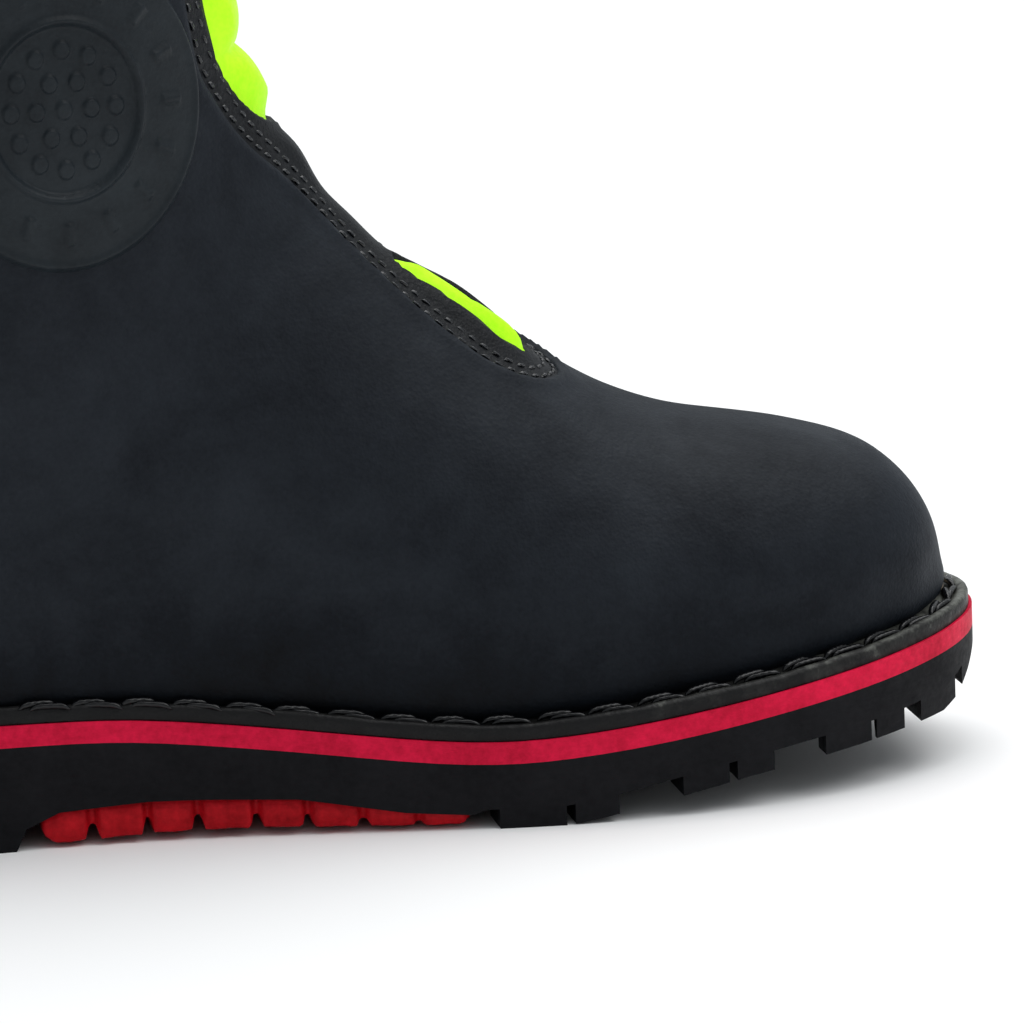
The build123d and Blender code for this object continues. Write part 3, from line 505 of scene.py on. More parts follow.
def rods(name, spots, tangents, normals, length, radius, material, sink=0.3, twist=0.0,
         flat=0.8, sections=7, sides=8):
    """Short bowed thread rods: rounded ends dip into the leather."""
    points, faces = [], []
    for k, (p, t, n) in enumerate(zip(spots, tangents, normals)):
        t = t / np.linalg.norm(t)
        n = n - t * (n @ t)
        n /= np.linalg.norm(n)
        side = np.cross(n, t)
        heading = t * math.cos(twist) + side * math.sin(twist)
        side = np.cross(n, heading)
        span = length * (1 + 0.06 * math.sin(k * 2.7))
        base = len(points)
        for i in range(sections):
            u = -1 + 2 * i / (sections - 1)
            bulk = radius * math.sqrt(max(0.0, 1 - abs(u) ** 5)) + 0.02
            lift = radius * (1 - sink) - radius * 1.5 * u ** 4
            centre = p + heading * (u * span / 2) + n * lift
            for j in range(sides):
                a = 2 * math.pi * j / sides
                points.append(centre + side * math.cos(a) * bulk + n * math.sin(a) * bulk * flat)
        faces += lattice(sections, sides, first=base)
        faces.append(tuple(base + j for j in range(sides))[::-1])
        faces.append(tuple(base + (sections - 1) * sides + j for j in range(sides)))
    return mesh_object(name, np.array(points), faces, material)


# -------- Materials --------
class Nodes:
    """Small helper for building a node material."""

    def __init__(self, name, **principled):
        self.material = bpy.data.materials.new(name)
        self.material.use_nodes = True
        self.tree = self.material.node_tree
        self.tree.nodes.clear()
        self.out = self.tree.nodes.new("ShaderNodeOutputMaterial")
        self.shader = self.tree.nodes.new("ShaderNodeBsdfPrincipled")
        self.tree.links.new(self.shader.outputs[0], self.out.inputs[0])
        for key, value in principled.items():
            self.shader.inputs[key.replace("_", " ")].default_value = value
        coord = self.tree.nodes.new("ShaderNodeTexCoord")
        self.coord = coord.outputs["Object"]

    def new(self, kind, **values):
        node = self.tree.nodes.new(kind)
        for key, value in values.items():
            node.inputs[key.replace("_", " ")].default_value = value
        return node

    def link(self, a, b):
        self.tree.links.new(a, b)

    def stretched(self, scale):
        node = self.new("ShaderNodeMapping")
        node.inputs["Scale"].default_value = scale
        self.link(self.coord, node.inputs["Vector"])
        return node.outputs[0]

    def noise(self, scale, detail=3.0, roughness=0.55, vector=None, distortion=0.0):
        node = self.new("ShaderNodeTexNoise", Scale=scale, Detail=detail, Roughness=roughness,
                        Distortion=distortion)
        self.link(vector or self.coord, node.inputs["Vector"])
        return node.outputs["Fac"]

    def cells(self, scale, feature="F1"):
        node = self.new("ShaderNodeTexVoronoi", Scale=scale)
        node.feature = feature
        self.link(self.coord, node.inputs["Vector"])
        return node.outputs["Distance"]

    def wave(self, scale, distortion, direction):
        node = self.new("ShaderNodeTexWave", Scale=scale, Distortion=distortion)
        node.bands_direction = direction
        self.link(self.coord, node.inputs["Vector"])
        return node.outputs["Fac"]

    def ramp(self, value, stops):
        node = self.new("ShaderNodeValToRGB")
        ramp = node.color_ramp
        while len(ramp.elements) < len(stops):
            ramp.elements.new(0.5)
        for element, (position, colour) in zip(ramp.elements, stops):
            element.position = position
            element.color = (*colour, 1.0)
        self.link(value, node.inputs["Fac"])
        return node.outputs["Color"]

    def spread(self, value, low, high, out_low, out_high):
        node = self.new("ShaderNodeMapRange")
        for socket, number in zip(("From Min", "From Max", "To Min", "To Max"),
                                  (low, high, out_low, out_high)):
            node.inputs[socket].default_value = number
        self.link(value, node.inputs["Value"])
        return node.outputs[0]

    def math(self, kind, a, b):
        node = self.tree.nodes.new("ShaderNodeMath")
        node.operation = kind
        for socket, value in zip(node.inputs, (a, b)):
            if isinstance(value, (int, float)):
                socket.default_value = value
            else:
                self.link(value, socket)
        return node.outputs[0]

    def blend(self, first, first_share, second, second_share):
        return self.math("ADD", self.math("MULTIPLY", first, first_share),
                         self.math("MULTIPLY", second, second_share))

    def axes(self, vector):
        """X, Y and Z of a vector as separate values."""
        node = self.new("ShaderNodeSeparateXYZ")
        self.link(vector, node.inputs[0])
        return node.outputs

    def glow(self, shade, strength):
        self.link(shade, self.shader.inputs["Emission Color"])
        self.shader.inputs["Emission Strength"].default_value = strength

    def colour(self, output):
        self.link(output, self.shader.inputs["Base Color"])

    def roughness(self, output):
        self.link(output, self.shader.inputs["Roughness"])

    def bump(self, height, distance, strength=1.0, under=None):
        node = self.new("ShaderNodeBump", Strength=strength, Distance=distance)
        self.link(height, node.inputs["Height"])
        if under:
            self.link(under, node.inputs["Normal"])
        self.link(node.outputs[0], self.shader.inputs["Normal"])
        return node.outputs[0]


# Darkest leather tone: the dark mottle of the dressing, and also the colour that the painted shade
# by the welt pulls the low leather towards.
DRESSED_AND_SHADE = (0.0012, 0.0014, 0.0022)


def leather(name, dark, light, rough=(0.52, 0.68), grain=1.0, specular=0.13, sheen=0.02,
            painted_welt_shade=0.0):
    m = Nodes(name, Specular_IOR_Level=specular, Sheen_Weight=sheen, Sheen_Roughness=0.45)
    m.shader.inputs["Sheen Tint"].default_value = (0.55, 0.72, 1.0, 1.0)
    cloud = m.noise(26, 5, 0.62, distortion=0.6)
    mottle = m.blend(m.noise(95, 4, 0.6), 0.24, m.noise(900, 2, 0.5), 0.20)
    mixed = m.math("ADD", m.math("MULTIPLY", cloud, 0.56), mottle)
    # Painted shade: the leather is darkened low down just above the welt, most towards the heel,
    # standing in for the shade under the upper's lower edge.
    if painted_welt_shade:
        where = m.axes(m.coord)
        painted_shade_aft = m.spread(where["X"], 0.02, 0.13, 1.0, 0.25)
        low = m.spread(where["Z"], 0.028, 0.056, painted_welt_shade, 0.0)
        mixed = m.math("SUBTRACT", mixed, m.math("MULTIPLY", low, painted_shade_aft))
    m.colour(m.ramp(mixed, [(0.16, DRESSED_AND_SHADE), (0.36, dark), (0.64, light)]))
    m.roughness(m.spread(mixed, 0.35, 0.65, rough[1], rough[0]))
    pores = m.cells(1150)
    creases = m.noise(420, 6, 0.7)
    first = m.bump(m.math("ADD", m.math("MULTIPLY", pores, 0.5), creases), 0.00026 * grain, 0.7)
    m.bump(m.noise(70, 3, 0.5), 0.0006, 0.25, under=first)
    return m.material


def rubber(name, dark, light, rough=(0.45, 0.62), scuff=0.00015, specular=0.4, glow=0.0):
    m = Nodes(name, Specular_IOR_Level=specular)
    tone = m.blend(m.noise(60, 5, 0.65), 0.6, m.noise(620, 3, 0.6), 0.4)
    shade = m.ramp(tone, [(0.34, dark), (0.66, light)])
    m.colour(shade)
    # Painted glow: a glow above zero makes the rubber emit light of its own colour.
    if glow:
        m.glow(shade, glow)
    m.roughness(m.spread(tone, 0.35, 0.65, rough[1], rough[0]))
    streak = m.noise(300, 4, 0.6, vector=m.stretched((0.35, 1.0, 2.4)))
    first = m.bump(streak, scuff, 0.7)
    m.bump(m.noise(1700, 2, 0.5), 0.00005, 0.5, under=first)
    return m.material


def neon_cloth(name):
    m = Nodes(name, Specular_IOR_Level=0.1, Sheen_Weight=0.05, Sheen_Roughness=0.4)
    tone = m.blend(m.noise(45, 3, 0.5), 0.7, m.noise(800, 2, 0.5), 0.3)
    shade = m.ramp(tone, [(0.36, (0.34, 0.82, 0.003)), (0.64, (0.50, 0.96, 0.020))])
    m.colour(shade)
    # Painted glow: the neon cloth emits light of its own colour, brighter than its lamps alone make
    # it.
    m.glow(shade, 0.25)
    m.roughness(m.spread(tone, 0.3, 0.7, 0.6, 0.45))
    weave = m.math("MULTIPLY", m.wave(1100, 0.3, "Z"), m.wave(1100, 0.3, "Y"))
    m.bump(m.math("ADD", m.math("MULTIPLY", weave, 0.5), m.noise(300, 3, 0.5)), 0.00012, 0.5)
    return m.material


def thread(name, dark, light, rough=0.45, specular=0.5, scale=520, ply_depth=0.0001):
    m = Nodes(name, Specular_IOR_Level=specular, Roughness=rough)
    ply = m.wave(scale, 2.0, "DIAGONAL")
    m.colour(m.ramp(m.blend(ply, 0.5, m.noise(1300, 2, 0.5), 0.5), [(0.25, dark), (0.8, light)]))
    m.bump(ply, ply_depth, 0.8)
    return m.material


def woven(name, dark, light, pitch=900, rough=0.85):
    m = Nodes(name, Specular_IOR_Level=0.2, Sheen_Weight=0.3, Roughness=rough)
    weave = m.math("MULTIPLY", m.wave(pitch, 0.4, "Z"), m.wave(pitch, 0.4, "DIAGONAL"))
    tone = m.blend(weave, 0.6, m.noise(80, 3, 0.5), 0.4)
    m.colour(m.ramp(tone, [(0.1, dark), (0.7, light)]))
    m.bump(weave, 0.0002, 0.7)
    return m.material


def reflective(name):
    m = Nodes(name, Metallic=0.35, Specular_IOR_Level=0.6)
    beads = m.cells(1500)
    bars = m.cells(260, feature="DISTANCE_TO_EDGE")
    tone = m.math("ADD", m.math("MULTIPLY", beads, 0.35), m.noise(50, 3, 0.5))
    m.colour(m.ramp(tone, [(0.3, (0.34, 0.36, 0.38)), (0.85, (0.66, 0.68, 0.69))]))
    m.roughness(m.spread(m.noise(120, 3, 0.6), 0.3, 0.7, 0.28, 0.45))
    first = m.bump(m.spread(bars, 0.0, 0.02, 0.0, 1.0), 0.00008, 0.6)
    m.bump(beads, 0.00005, 0.5, under=first)
    return m.material


def steel(name):
    m = Nodes(name, Metallic=1.0)
    brush = m.noise(240, 4, 0.6, vector=m.stretched((0.08, 1.0, 1.0)))
    m.colour(m.ramp(brush, [(0.3, (0.42, 0.43, 0.45)), (0.7, (0.62, 0.63, 0.65))]))
    m.roughness(m.spread(brush, 0.3, 0.7, 0.25, 0.42))
    m.bump(brush, 0.00006, 0.5)
    return m.material


def crumb(name, dark, light, scale=420, rough=0.85):
    m = Nodes(name, Specular_IOR_Level=0.2, Roughness=rough)
    grains = m.cells(scale)
    tone = m.blend(grains, 0.7, m.noise(150, 4, 0.6), 0.5)
    m.colour(m.ramp(tone, [(0.2, dark), (0.75, light)]))
    m.bump(grains, 0.0003, 0.6)
    return m.material


def welt_leather(name):
    m = Nodes(name, Specular_IOR_Level=0.22)
    tone = m.blend(m.noise(140, 5, 0.65), 0.7, m.noise(700, 3, 0.6), 0.3)
    where = m.axes(m.coord)
    facing = m.axes(m.new("ShaderNodeNewGeometry").outputs["Normal"])
    # Darker towards the heel and lighter towards the toe, plus a painted highlight that lightens
    # the welt where its surface faces up.
    heelward_dark_and_painted_top_light = m.math("ADD", m.spread(where["X"], 0.03, 0.15, -0.24, 0.09),
                  m.spread(facing["Z"], 0.1, 0.95, -0.07, 0.09))
    m.colour(m.ramp(m.math("ADD", tone, heelward_dark_and_painted_top_light),
                    [(0.36, (0.0022, 0.0022, 0.0025)), (0.54, (0.016, 0.016, 0.015)),
                     (0.72, (0.120, 0.125, 0.110))]))
    m.roughness(m.spread(tone, 0.35, 0.65, 0.6, 0.36))
    first = m.bump(m.noise(420, 5, 0.7), 0.0004, 0.6)
    m.bump(m.cells(900), 0.00015, 0.5, under=first)
    return m.material


LEATHER = leather("waxed_leather", (0.0042, 0.0058, 0.0088), (0.0125, 0.0160, 0.0215),
                  painted_welt_shade=0.30)
SOFT_LEATHER = leather("soft_leather", (0.0022, 0.0028, 0.0036), (0.0070, 0.0084, 0.0105),
                       rough=(0.42, 0.58), grain=1.6, specular=0.17, sheen=0.01)
STRAP_LEATHER = leather("strap_leather", (0.0035, 0.0045, 0.0060), (0.0100, 0.0122, 0.0155),
                        rough=(0.4, 0.55), specular=0.2)
DISC_RUBBER = leather("guard_surface", (0.0052, 0.0076, 0.0100), (0.0140, 0.0190, 0.0230),
                      rough=(0.40, 0.52), grain=0.6, specular=0.17, sheen=0.01)
WELT = welt_leather("welt_leather")
WAXED = thread("waxed_thread", (0.0012, 0.0012, 0.0018), (0.0055, 0.006, 0.007), rough=0.24,
               specular=0.34, scale=330, ply_depth=0.00004)
SEAM_THREAD = thread("seam_thread", (0.003, 0.0035, 0.0045), (0.024, 0.027, 0.032), rough=0.25,
                     specular=0.5)
NEON = neon_cloth("neon_cloth")
# The red midsole rubber carries a small painted glow.
RED = rubber("red_rubber", (0.40, 0.0015, 0.022), (0.72, 0.006, 0.052), rough=(0.45, 0.62),
             scuff=0.0003, specular=0.12, glow=0.02)
RED_GRIP = rubber("red_grip_rubber", (0.26, 0.001, 0.004), (0.56, 0.006, 0.014),
                  rough=(0.42, 0.6), scuff=0.0004, specular=0.12, glow=0.0)
BLACK_RUBBER = rubber("black_rubber", (0.0020, 0.0021, 0.0030), (0.0058, 0.0058, 0.0075),
                      rough=(0.5, 0.68), scuff=0.00025, specular=0.12)
LINING = woven("lining_weave", (0.020, 0.022, 0.025), (0.085, 0.090, 0.098))
FOOTBED = woven("footbed_felt", (0.030, 0.033, 0.036), (0.11, 0.115, 0.12), pitch=500)
TAPE = reflective("reflective_tape")

CAD_MATERIALS = {
    "outsole": BLACK_RUBBER, "midsole": RED, "ladder_insert": RED_GRIP, "lining": LINING,
    "footbed": FOOTBED, "shank": steel("shank_steel"), "puncture_plate": steel("plate_steel"),
    "toe_cap": steel("toe_cap_steel"), "toe_cap_cushion": rubber(
        "cushion_rubber", (0.01, 0.01, 0.01), (0.02, 0.02, 0.02)),
    "cork_filler": crumb("cork_crumb", (0.16, 0.08, 0.035), (0.42, 0.26, 0.13)),
    "insole_board": crumb("insole_fibre", (0.28, 0.21, 0.13), (0.46, 0.37, 0.26), 900),
    "heel_stiffener": crumb("stiffener_board", (0.24, 0.22, 0.18), (0.36, 0.33, 0.28), 1200),
    "interlining": woven("insulating_felt", (0.20, 0.19, 0.15), (0.34, 0.33, 0.27), 400),
}
for node_name, surface in CAD_MATERIALS.items():
    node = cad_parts[node_name]
    node.data.materials.clear()
    node.data.materials.append(surface)


def place(piece, body, slot, *nodes):
    """Ride a body and stand for the CAD nodes given; the slot argument is not used."""
    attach(piece, body)
    if nodes:
        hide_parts(*nodes)
    return piece


# -------- Leather of the foot and shaft --------
def bead(distance, at, width):
    """Bell-shaped ridge along a line at a distance."""
    return np.exp(-((distance - at) / width) ** 2)


def quarter_height(points, c):
    d = c["gusset"]
    rise = height_above_feather(points)
    h = 0.22 * c["ripple"] + 0.06 * c["fine"]
    h += 0.75 * bead(d, 1.5, 1.2) - 0.7 * (1 - smoothstep(0.0, 0.9, d))
    h -= 0.9 * (1 - smoothstep(0.0, 2.2, rise))
    h += 0.35 * bead(rise, 4.5, 2.6)
    return h


quarters = surface_piece(
    "vamp_and_quarters_leather", LEATHER,
    {"floor": height_above_feather(P0) + 0.3, "top": SHAFT_SEAM_Z + 0.5 - P0[:, 2],
     "open": D_GUSSET}, quarter_height, 2.0)
place(quarters, "boot", "boot_leather", "vamp_and_quarters")


def panel_height(points, c):
    low = points[:, 2] - SHAFT_SEAM_Z + 1.8
    d = c["gusset"]
    front = np.where(points[:, 0] > 90, np.abs(points[:, 1]), 20.0)
    h = 0.95 * (1 - 0.6 * smoothstep(3, 30, low)) + 0.24 * c["ripple"] + 0.06 * c["fine"]
    h -= 0.5 * (1 - smoothstep(0.0, 0.8, low))
    h += 0.55 * bead(d, 1.7, 1.3) - 0.6 * (1 - smoothstep(0.0, 0.9, d))
    h -= 0.5 * (1 - smoothstep(0.0, 0.9, front))
    return h


for side, label in ((-1, "lateral"), (1, "medial")):
    panel = surface_piece(
        "shaft_panel_" + label, LEATHER,
        {"side": side * P0[:, 1] - 0.05, "low": P0[:, 2] - SHAFT_SEAM_Z + 1.8,
         "top": PANEL_TOP_Z + 1.0 - P0[:, 2], "open": D_GUSSET}, panel_height, 1.2)
    place(panel, "boot", "boot_leather", "shaft_" + label)


# -------- Front gusset: sunk edge band, padded bridge, rolled window rims --------
def gusset_height(points, c):
    d = -c["gusset"]
    t, y, _ = gusset_coords(points)
    window = np.minimum(np.maximum(c["shin"], 0), np.maximum(c["instep"], 0))
    h = -0.9 + 0.10 * c["fine"]
    h = h - 0.3 * bead(d, 1.2, 0.6) - 0.3 * bead(d, 4.0, 0.6)
    high = hermite(*zip(*BRIDGE_RISE), np.clip(t, BRIDGE_RISE[0][0], BRIDGE_RISE[-1][0]))
    h = h + smoothstep(4.2, 8.5, d + 0.8 * (t > 10)) * (high + 0.2)
    h = h + 0.5 * bead(window, 1.3, 1.0) - 0.7 * (1 - smoothstep(0.0, 0.6, window))
    return h


gusset = surface_piece(
    "front_gusset_leather", SOFT_LEATHER,
    {"in": 1.6 - D_GUSSET, "shin": D_SHIN, "instep": D_INSTEP}, gusset_height, 1.4)
place(gusset, "boot", "gusset_leather", "front_gusset")


def shin_height(points, c):
    d = -c["shin"]
    sag = 2.4 * (points[:, 1] / 20) ** 2
    u = ((points[:, 2] - SHIN_CREASE_Z + sag) / SHIN_CREASE_PITCH) % 1.0
    rib = np.clip(1 - np.abs(2 * u - 1) ** 2.1, 0, 1) ** 0.75
    edge = smoothstep(-0.8, 6.5, d)
    pucker = 0.22 * np.sin(points[:, 1] * 1.15 + 1.3 * c["ripple"]) * (1 - rib)
    return -1.9 + edge * (1.0 + 3.9 * rib + pucker)


shin_pad = surface_piece(
    "shin_flex_pad_cloth", NEON, {"in": 1.8 - D_SHIN}, shin_height, 1.4)
place(shin_pad, "boot", "flex_neon", "shin_flex_pad")


def instep_height(points, c):
    d = -c["instep"]
    t, _, _ = gusset_coords(points)
    edge = smoothstep(-0.8, 4.6, d)
    return -1.6 + edge * (3.5 - 0.3 * bead(t, 29.0, 1.0) + 0.12 * c["fine"])


instep_pad = surface_piece(
    "instep_flex_pad_cloth", NEON, {"in": 1.8 - D_INSTEP}, instep_height, 1.2)
place(instep_pad, "boot", "flex_neon", "instep_flex_pad")


# -------- Stitch rows --------
SEAM_PITCH = 2.9


def front_row(grow, pitch, height):
    """Stitches round the gusset: spots, headings and normals lifted to the leather."""
    curve, _, _ = even_steps(inset(OUTLINES["gusset"], -grow), pitch)
    spots, normals = lifted([front_hit(t, y) for t, y in curve], height)
    return spots, np.roll(spots, -1, axis=0) - np.roll(spots, 1, axis=0), normals


def side_row(points_xz, side, pitch, height):
    """Stitches along an open line drawn on one side of the boot."""
    curve, _, _ = even_steps(np.array(points_xz, float), pitch, False)
    heights = [height(z) for _, z in curve] if callable(height) else height
    spots, normals = lifted([side_hit(x, z, side) for x, z in curve], heights)
    return spots, np.gradient(spots, axis=0), normals


def level_row(z, pitch, height, keep=lambda p: True):
    """Stitches round the shaft at one height."""
    loop = ring("shaft", z, np.linspace(0, 2 * math.pi, 720, endpoint=False))
    spots, tangents, _ = even_steps(loop, pitch)
    centre = np.array([80.0, 0.0, z])
    normals = spots - centre
    normals[:, 2] = 0
    normals[:, 1] *= 1.9
    normals /= np.linalg.norm(normals, axis=1)[:, None]
    mask = np.array([keep(p) for p in spots])
    return spots[mask] + normals[mask] * height, tangents[mask], normals[mask]


def stitch(name, rows, body="boot", nodes=(), length=2.25, radius=0.4):
    """One object from rows of (spots, headings, normals) in the seam thread."""
    spots, headings, normals = (np.vstack([row[k] for row in rows]) for k in range(3))
    place(rods(name, spots, headings, normals, length, radius, SEAM_THREAD, twist=0.16),
          body, "seam_thread", *nodes)


def clear_of_stay(p):
    """Keeps a level row off the back stay."""
    return not (p[0] < 60 and abs(p[1]) < STAY_HALF_W)


def clear_of_both(p):
    """Keeps a level row off the back stay and the front gusset."""
    return not (p[0] > 100 and abs(p[1]) < 24) and clear_of_stay(p)


stitch("gusset_stitches", [front_row(grow, 3.3, -1.15) for grow in (0.0, -2.8)],
       nodes=["gusset_stitching"], length=2.7, radius=0.46)
stitch("shaft_seam_stitches", [level_row(SHAFT_SEAM_Z + d, SEAM_PITCH, 0.75, clear_of_both)
                               for d in (1.0, 4.0)])
stitch("band_stitches", [level_row(z, SEAM_PITCH, 0.85, clear_of_stay)
                         for z in (BAND_Z[0] + 1.6, BAND_Z[1] - 1.6)])


# -------- Heel cover, back stay, reflective band --------
COUNTER_TOP = closed_curve(COUNTER[:8], 10)[:60]
COUNTER_SHAPE = np.vstack([COUNTER_TOP, [(-20, 112), (-20, 10), (93, 10)]])
D_COUNTER = depth_inside(P0[:, [0, 2]], COUNTER_SHAPE)


def counter_height(points, c):
    d = c["shape"]
    rise = height_above_feather(points)
    return (1.9 - 0.8 * (1 - smoothstep(0.0, 1.1, d)) + 0.15 * c["ripple"]
            - 1.2 * (1 - smoothstep(0.0, 1.8, rise)))


counter = surface_piece("heel_counter_leather", LEATHER,
                        {"shape": D_COUNTER, "floor": height_above_feather(P0) + 0.3},
                        counter_height, 1.95)
place(counter, "boot", "boot_leather", "heel_counter_cover")
edge_line = COUNTER_TOP[(COUNTER_TOP[:, 1] > 34) & (COUNTER_TOP[:, 0] > 8)]
along = np.gradient(edge_line, axis=0)
along /= np.linalg.norm(along, axis=1)[:, None]
inward = np.column_stack([-along[:, 1], along[:, 0]])
stitch("heel_counter_stitches", [side_row(edge_line + inward * back, side, SEAM_PITCH, 1.85)
                                 for side in (-1, 1) for back in (2.2, 5.0)])


def stay_height(points, c):
    d = np.minimum(STAY_HALF_W - np.abs(points[:, 1]), 6)
    return 1.7 - 0.6 * (1 - smoothstep(0.0, 0.9, d)) + 0.5 * bead(points[:, 1], 0, 1.4)


stay = surface_piece("back_stay_leather", LEATHER,
                     {"back": 60 - P0[:, 0], "wide": STAY_HALF_W - np.abs(P0[:, 1]),
                      "low": P0[:, 2] - STAY_BOTTOM_Z + 3, "top": PANEL_TOP_Z + 1 - P0[:, 2]},
                     stay_height, 1.8)
place(stay, "boot", "boot_leather", "back_stay")
stay_rows = []
for y in (-8.6, 8.6):
    spots, normals = lifted([hit((-80, y, z), (1, 0, 0)) for z in np.arange(
        STAY_BOTTOM_Z + 4, PANEL_TOP_Z - 1, SEAM_PITCH)], 1.65)
    stay_rows.append((spots, np.gradient(spots, axis=0), normals))
stitch("back_stay_stitches", stay_rows)

D_STAY = np.where(P0[:, 0] < 70, np.abs(P0[:, 1]) - STAY_HALF_W + 1, 30.0)


def band_height(points, c):
    d = np.minimum(points[:, 2] - BAND_Z[0], BAND_Z[1] - points[:, 2])
    return 1.28 + 0.2 * c["ripple"] - 0.4 * (1 - smoothstep(0.0, 0.5, d)) - 0.18 * bead(d, 1.6, 0.7)


band = surface_piece("reflective_band_tape", TAPE,
                     {"low": P0[:, 2] - BAND_Z[0], "top": BAND_Z[1] - P0[:, 2], "stay": D_STAY},
                     band_height, 0.8)
place(band, "boot", "reflective_tape", "reflective_band")


# -------- Padded collar, loop anchors, pull loops --------
COLLAR_PROFILE = [(0.3, 288.0), (1.3, 289.6), (2.5, 292.6), (3.1, 297.0), (3.0, 301.6),
                  (1.9, 305.6), (-0.6, 307.8), (-3.6, 307.9), (-6.0, 305.8), (-7.2, 301.5),
                  (-7.2, 296.0), (-6.5, 290.5), (-5.0, 288.4), (-2.2, 288.0)]


COLLAR_COLUMNS = 220
collar_turns = np.arange(COLLAR_COLUMNS) * 2 * math.pi / COLLAR_COLUMNS
collar_rings = [ring("shaft", z, collar_turns, offset)
                for offset, z in closed_curve(COLLAR_PROFILE, 3)]
collar = mesh_object("collar_roll", np.vstack(collar_rings),
                     lattice(len(collar_rings), COLLAR_COLUMNS, wrap_rows=True), SOFT_LEATHER)
place(collar, "boot", "gusset_leather", "collar")
stitch("collar_stitches", [level_row(290.6, 3.1, 1.7)])


STRAP_PITCH = 3.0
STRAP_SEAM = 3.6


def anchor_lift(z):
    """Outward lift of the patch over the shaft: it climbs on to the collar roll."""
    return straight(ANCHOR_LIFT, z)


def anchor_patch(side):
    """Outer and inner face of the leather patch that holds a pull loop."""
    xs = np.linspace(LOOP_X - ANCHOR_HALF_W, LOOP_X + ANCHOR_HALF_W, 45)
    zs = np.linspace(ANCHOR_Z[0], ANCHOR_Z[1], 22)
    outer, inner = [], []
    for z in zs:
        for x in xs:
            spot, normal = side_hit(x, z, side)
            edge = min(ANCHOR_HALF_W - abs(x - LOOP_X), z - ANCHOR_Z[0] + 0.4,
                       ANCHOR_Z[1] - z + 0.6)
            round_off = 0.7 * (1 - float(smoothstep(0.0, 1.2, edge)))
            lift = float(anchor_lift(z)) - round_off
            outer.append(spot + normal * lift)
            inner.append(spot + normal * (lift - 1.5 + round_off * 0.5))
    faces = lattice(len(zs), len(xs), wrap_columns=False, flip=side > 0)
    return np.array(outer), np.array(inner), faces


def anchor_row(side):
    """Stitches down, along and up the patch."""
    low, high = ANCHOR_Z[0] + 2.0, ANCHOR_Z[1] - 2.2
    reach = ANCHOR_HALF_W - 2.4
    line = [(LOOP_X - reach, high), (LOOP_X - reach, low), (LOOP_X + reach, low),
            (LOOP_X + reach, high)]
    return side_row(line, side, STRAP_PITCH, lambda z: float(anchor_lift(z)) - 0.05)


def strap_path(samples=60):
    """Centre line of the pull loop in (x, z): up one leg, round the arch, down the other."""
    half = LOOP_HALF_W - LOOP_STRAP_W / 2
    top = LOOP_RISE - LOOP_STRAP_W / 2
    bend = 10.5
    points = [(-half, LOOP_T / 2), (-half, top - bend)]
    for a in np.linspace(math.pi, math.pi / 2, 12)[1:]:
        points.append((-half + bend + bend * math.cos(a), top - bend + bend * math.sin(a)))
    for a in np.linspace(math.pi / 2, 0, 12):
        points.append((half - bend + bend * math.cos(a), top - bend + bend * math.sin(a)))
    points.append((half, LOOP_T / 2))
    spots, tangents, _ = even_steps(np.array(points), 1.1, closed=False)
    return spots, tangents


def pull_loop(side):
    """Strap with rounded edges and a flat face, swept along the arch."""
    spots, tangents = strap_path()
    base_z = ANCHOR_Z[1] + 0.05
    half_w, half_t = LOOP_STRAP_W / 2, LOOP_T / 2
    profile = []
    for k in range(20):
        a = 2 * math.pi * k / 20
        c, s = math.cos(a), math.sin(a)
        profile.append((half_w * math.copysign(abs(c) ** 0.35, c),
                        half_t * math.copysign(abs(s) ** 0.55, s)))
    # The feet end in half rounds centred on the hinge line.
    roll = [math.pi / 2 * k / 5 for k in range(5)]
    steps = [(spots[0], tangents[0], a) for a in roll[:0:-1]]
    steps += [(p, t, 0.0) for p, t in zip(spots, tangents)]
    steps += [(spots[-1], tangents[-1], a) for a in roll[1:]]
    points = []
    for p, t, a in steps:
        normal2 = np.array([-t[1], t[0]])
        thin, drop = math.cos(a), half_t * math.sin(a)
        for u, v in profile:
            across = p + normal2 * u
            channel = 0.18 * math.exp(-((abs(u) - STRAP_SEAM) / 0.5) ** 2)
            depth = v - math.copysign(channel, v) if abs(v) > 0.6 else v
            points.append((LOOP_X + across[0], side * LOOP_Y + depth * thin,
                           base_z + max(across[1], half_t) - drop))
    n = len(profile)
    faces = lattice(len(steps), n)
    faces.append(tuple(range(n))[::-1])
    faces.append(tuple((len(steps) - 1) * n + j for j in range(n)))
    return np.array(points), faces


def loop_stitch_rows(side):
    """Two rows on each face of the strap."""
    rows = []
    spots, tangents = strap_path()
    for off in (-STRAP_SEAM, STRAP_SEAM):
        line = spots + np.column_stack([-tangents[:, 1], tangents[:, 0]]) * off
        curve, heading, _ = even_steps(line, STRAP_PITCH, closed=False)
        curve, heading = curve[1:-1], heading[1:-1]
        for face in (-1, 1):
            places3 = np.column_stack([LOOP_X + curve[:, 0],
                                       np.full(len(curve), side * LOOP_Y + face * 1.0),
                                       ANCHOR_Z[1] + curve[:, 1]])
            heading3 = np.column_stack([heading[:, 0], np.zeros(len(curve)), heading[:, 1]])
            normal3 = np.tile([0.0, float(face), 0.0], (len(curve), 1))
            rows.append((places3, heading3, normal3))
    return rows


for side, label in ((-1, "lateral"), (1, "medial")):
    outer, inner, faces = anchor_patch(side)
    patch = thick_mesh("loop_anchor_patch_" + label, outer, inner, faces, STRAP_LEATHER)
    place(patch, "boot", "boot_leather", "loop_anchor_" + label)
    stitch("loop_anchor_stitches_" + label, [anchor_row(side)])
    points, faces = pull_loop(side)
    strap = mesh_object("pull_loop_strap_" + label, points, faces, STRAP_LEATHER)
    place(strap, "pull_loop_" + label, "loop_leather", "pull_loop_" + label)
    stitch("pull_loop_stitches_" + label, loop_stitch_rows(side), "pull_loop_" + label,
           radius=0.34)


